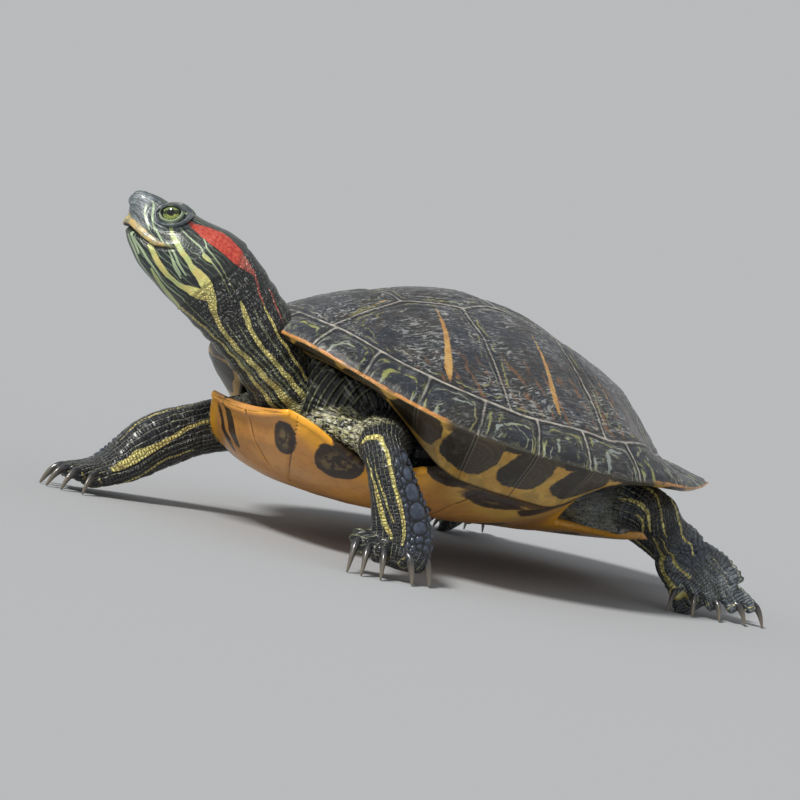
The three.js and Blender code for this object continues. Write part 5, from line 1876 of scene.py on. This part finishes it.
def eye_finish():
    """Eyeball: round black pupil, green-yellow iris with a dark bar through it, its upper part duller as
    painted shade under the lid, dark beyond the iris, under a wet coat."""
    m = Finish("eye_wet")
    x, y = m.layer("along"), m.layer("over")
    across = (x * x + y * y) ** 0.5
    swirl = m.noise(0.5, 4, 0.6)
    iris = m.mix(swirl.step(0.35, 0.65), rgb(98, 120, 50), rgb(176, 188, 96))
    # painted shade: the upper iris duller, as under the upper lid
    iris = m.mix(y.step(0.2, 1.2) * 0.7, iris, rgb(104, 124, 88))
    bar = (abs(y) + swirl * 0.9 - 0.45).step(0.85, 0.5) * across.step(0.7, 1.1)
    iris = m.mix(bar * 0.94, iris, rgb(18, 22, 14))
    iris = m.mix((across + swirl * 0.5 - 0.25).step(2.6, 3), iris, rgb(26, 30, 22))
    iris = m.mix((across - 3.4).step(-0.2, 0.3) * swirl.step(0.5, 0.6) * 0.7, iris, rgb(140, 150, 110))
    iris = m.mix((across + swirl * 0.2 - 0.1).step(1.36, 1.2), iris, rgb(3, 3, 3))
    wet = {"Roughness": 0.2, "Coat Weight": 1, "Coat Roughness": 0.02, "IOR": 1.38}
    return m.surface({"Base Color": iris}, wet)


def claw_finish():
    """Claw: near-black horn at the root, grey-brown and paler at the worn tip, with fine lines."""
    m = Finish("claw_horn")
    t = m.layer("to_tip")
    streak = m.noise(0.7, 3, at=m.scaled(m.place, (1, 1, 0.35)))
    m.base = m.mix(t.step(0.35, 1), rgb(30, 32, 37), rgb(108, 100, 86))
    m.paint(streak.step(0.45, 0.7) * 0.35, rgb(98, 99, 100))
    return m.coated(0.22 + streak * 0.15, streak, unit=0.00015, strength=0.5, coat=0.5, coat_rough=0.1)


def floor_finish(look):
    """Pale matt floor. Its colour is the one that makes it look as bright as the surroundings."""
    m = Finish("studio_floor")
    around = np.array(look.sky)[:3] * look.ambient
    lit = around + look.key * np.array(KEY_TINT) * KEY_SHARE
    matt = {"Base Color": (*(around / lit), 1.0), "Roughness": 1.0, "Specular IOR Level": 0.0}
    return m.surface({}, matt)


# ---- stage ----
CAMERA_AT = np.array([895.78, -792.58, 127.64])  # in the turtle's frame, millimetres
CAMERA_AZIMUTH = 49.62
CAMERA_ELEVATION = 3.63
CAMERA_ROLL = 12.43
CAMERA_LENS = 151.34
KEY_TOWARDS = (0.12, -0.74, 0.9)
KEY_TINT = (1.0, 0.97, 0.93)
# Share of the key light that a level floor returns.
KEY_SHARE = KEY_TOWARDS[2] / math.hypot(*KEY_TOWARDS) / math.pi


def make_camera():
    """Camera on the turtle's left front quarter, almost level and leaning to one side."""
    data = bpy.data.cameras.new("camera")
    data.lens = CAMERA_LENS
    data.sensor_width = 36.0
    data.clip_start = 0.01
    data.clip_end = 100.0
    camera = add_object("camera", data)
    camera.location = Vector((CAMERA_AT + SHIFT) * MM)
    look = Euler((math.radians(90 - CAMERA_ELEVATION), 0, math.radians(CAMERA_AZIMUTH)), "XYZ").to_matrix()
    lean = Euler((0, 0, math.radians(CAMERA_ROLL)), "XYZ").to_matrix()
    camera.rotation_euler = (look @ lean).to_euler()
    bpy.context.scene.camera = camera


def make_sun(name, towards, strength, softness, tint):
    """Soft distant light that comes from the given direction."""
    data = bpy.data.lights.new(name, "SUN")
    data.energy = strength
    data.angle = softness
    data.color = tint
    light = add_object(name, data)
    light.rotation_euler = Vector(towards).to_track_quat("Z", "Y").to_euler()


def make_floor(finish):
    """Wide flat floor: a disc of rings whose edge is far away."""
    radius = np.array([0.0001, 0.3, 1, 3, 9, 27]) / MM
    ring = on_plane(np.cos(circle(64)), np.sin(circle(64)))
    points = (radius[:, None, None] * ring).reshape(-1, 3)
    floor = write_mesh("floor", points, grid_quads(len(radius), 64), shift=0.0)
    floor.data.materials.append(finish)


def make_surroundings(look):
    """Even pale light from all round."""
    world = bpy.data.worlds.new("studio")
    world.use_nodes = True
    sky = world.node_tree.nodes["Background"]
    sky.inputs["Color"].default_value = tuple(look.sky)
    sky.inputs["Strength"].default_value = look.ambient
    bpy.context.scene.world = world
    bpy.context.scene.view_settings.view_transform = "Standard"


# ---- add-on ----


def colour(name, description, value):
    """Property that holds one colour."""
    kind = {"size": 4, "min": 0.0, "max": 1.0, "subtype": "COLOR"}
    return bpy.props.FloatVectorProperty(name=name, description=description, default=value, **kind)


def number(name, description, value, **more):
    """Property that holds one number."""
    return bpy.props.FloatProperty(name=name, description=description, default=value, **more)


class ShellSettings(bpy.types.PropertyGroup):
    """Colours of the shell"""

    horn: colour("Horn", "Dark ground of the carapace", rgb(21, 28, 40))
    # the wrinkles' colour is partly pale scratches and partly painted sheen of light on the wet ridges
    scratch: colour("Wrinkles", "Silvery wrinkles and scratches of the carapace", rgb(158, 160, 158))
    seam_line: colour("Seams", "Pale ridges between the scutes", rgb(178, 172, 160))
    bar: colour("Bars", "Upright bars of the costal scutes", rgb(186, 148, 84))
    under: colour("Under faces", "Yellow under the marginals and on the bridge", rgb(208, 166, 78))
    amber: colour("Plastron", "Ground of the plastron", rgb(218, 154, 70))
    # the lip colour is partly the edge's own orange and partly painted glow of light through it
    lip: colour("Lip", "Rolled edge of the plastron", rgb(252, 178, 40))


class SkinSettings(bpy.types.PropertyGroup):
    """Mesh and colours of the skin"""

    cell: number("Skin cell", "Mesh cell of the legs' skin, in millimetres", 0.53, min=0.3)
    ground: colour("Skin", "Dark ground of the skin", rgb(19, 22, 21))
    face: colour("Face", "Ground of the smooth skin of the face", rgb(27, 34, 34))
    stripe: colour("Stripes", "Yellow stripes of the neck and legs", rgb(230, 220, 134))
    red: colour("Red patch", "Patch behind the eye", rgb(164, 40, 28))


class StageSettings(bpy.types.PropertyGroup):
    """Light of the stage"""

    key: number("Key light", "Strength of the main light", 3.5, min=0.0)
    softness: number("Softness", "Angle the main light fills", math.radians(12), subtype="ANGLE")
    ambient: number("Surroundings", "Strength of the light from all round", 0.5, min=0.0)
    sky: colour("Sky", "Light from all round", (0.97, 0.985, 1.0, 1.0))


class StageMaker(bpy.types.Operator):
    """Make the floor, the lights and the camera"""

    bl_idname = "slider.stage"
    bl_label = "Stage"

    def execute(self, context):
        look = context.scene.slider_stage
        make_floor(floor_finish(look))
        make_surroundings(look)
        make_sun("key", KEY_TOWARDS, look.key, look.softness, KEY_TINT)
        make_camera()
        return {"FINISHED"}


class CarapaceMaker(bpy.types.Operator):
    """Make the carapace"""

    bl_idname = "slider.carapace"
    bl_label = "Carapace"

    def execute(self, context):
        make_carapace(context.scene.slider_shell)
        return {"FINISHED"}


class PlastronMaker(bpy.types.Operator):
    """Make the plastron and its bridges"""

    bl_idname = "slider.plastron"
    bl_label = "Plastron"

    def execute(self, context):
        make_plastron(context.scene.slider_shell)
        return {"FINISHED"}


class HeadMaker(bpy.types.Operator):
    """Make the skin of the head and neck, the lids and the eyes"""

    bl_idname = "slider.head"
    bl_label = "Head"

    def execute(self, context):
        skin = skin_finish(context.scene.slider_skin)
        eye = eye_finish()
        make_head(skin)
        for side, sign in (("left", 1), ("right", -1)):
            make_eyeball(side + "_eyeball", sign, eye, side + "_eye")
            make_lids(side + "_eyelids", sign, skin)
        return {"FINISHED"}


def leg_nodes(*parts):
    """Names of the solids of a left leg and then of its right one."""
    return [f"{side}_{part}" for side in ("left", "right") for part in parts]


class LimbMaker(bpy.types.Operator):
    """Make the skin of the legs, the body and the tail"""

    bl_idname = "slider.limbs"
    bl_label = "Legs, body and tail"

    def execute(self, context):
        cell = context.scene.slider_skin.cell
        skin = bpy.data.materials.get("turtle_skin")
        if skin is None:
            raise RuntimeError("The head comes first: it makes the skin's finish")
        inside_neck = np.array(NECK_ROWS) - [0, 0, 0, 0.7, 0.7, 0.7, 0]
        front = [tube_rings(inside_neck, HEAD[1], np.linspace(0, 2.6, 20), 40), trunk_rings(-83, -52)]
        front += [whole_tube(fold, [0, 1, 0], 30, 24) for fold in SHOULDER_FOLDS]
        nodes = leg_nodes("upper_arm", "forearm", "forefoot") + ["trunk"]
        make_limbs("skin_forelegs", skin, ["left_fore", "right_fore"], front, cell, nodes)
        rear = [whole_tube(TAIL_ROWS, [1, 0, 0], 50, 30), trunk_rings(40, 83)]
        nodes = leg_nodes("thigh", "shank", "hindfoot") + ["tail"]
        make_limbs("skin_hindlegs_and_tail", skin, ["left_hind", "right_hind"], rear, cell, nodes)
        make_body_wall(skin)
        return {"FINISHED"}


class ClawMaker(bpy.types.Operator):
    """Make the claws"""

    bl_idname = "slider.claws"
    bl_label = "Claws"

    def execute(self, context):
        horn = claw_finish()
        for name, limb in LIMBS.items():
            nodes = [f"{name}_claw_{k + 1}" for k in range(len(limb["toes"]))]
            make_claws(name + "_claws", limb, horn, nodes)
        return {"FINISHED"}


class TurtlePanel(bpy.types.Panel):
    """Lists the makers in the order they are used"""

    bl_idname = "VIEW3D_PT_slider_turtle"
    bl_label = "Red-eared slider"
    bl_space_type = "VIEW_3D"
    bl_region_type = "UI"
    bl_category = "Slider"

    def draw(self, context):
        for place, group in SETTINGS.items():
            for name in group.__annotations__:
                self.layout.prop(getattr(context.scene, place), name)
        for maker in MAKERS:
            self.layout.operator(maker.bl_idname)


SETTINGS = {"slider_shell": ShellSettings, "slider_skin": SkinSettings, "slider_stage": StageSettings}
MAKERS = (StageMaker, CarapaceMaker, PlastronMaker, HeadMaker, LimbMaker, ClawMaker)


def register():
    for cls in (*SETTINGS.values(), *MAKERS, TurtlePanel):
        bpy.utils.register_class(cls)
    for place, group in SETTINGS.items():
        setattr(bpy.types.Scene, place, bpy.props.PointerProperty(type=group))


def unregister():
    for place in SETTINGS:
        delattr(bpy.types.Scene, place)
    for cls in reversed((*SETTINGS.values(), *MAKERS, TurtlePanel)):
        bpy.utils.unregister_class(cls)


def main():
    """Makes everything in order."""
    register()
    for maker in MAKERS:
        group, name = maker.bl_idname.split(".")
        getattr(getattr(bpy.ops, group), name)()


if __name__ == "__main__":
    main()
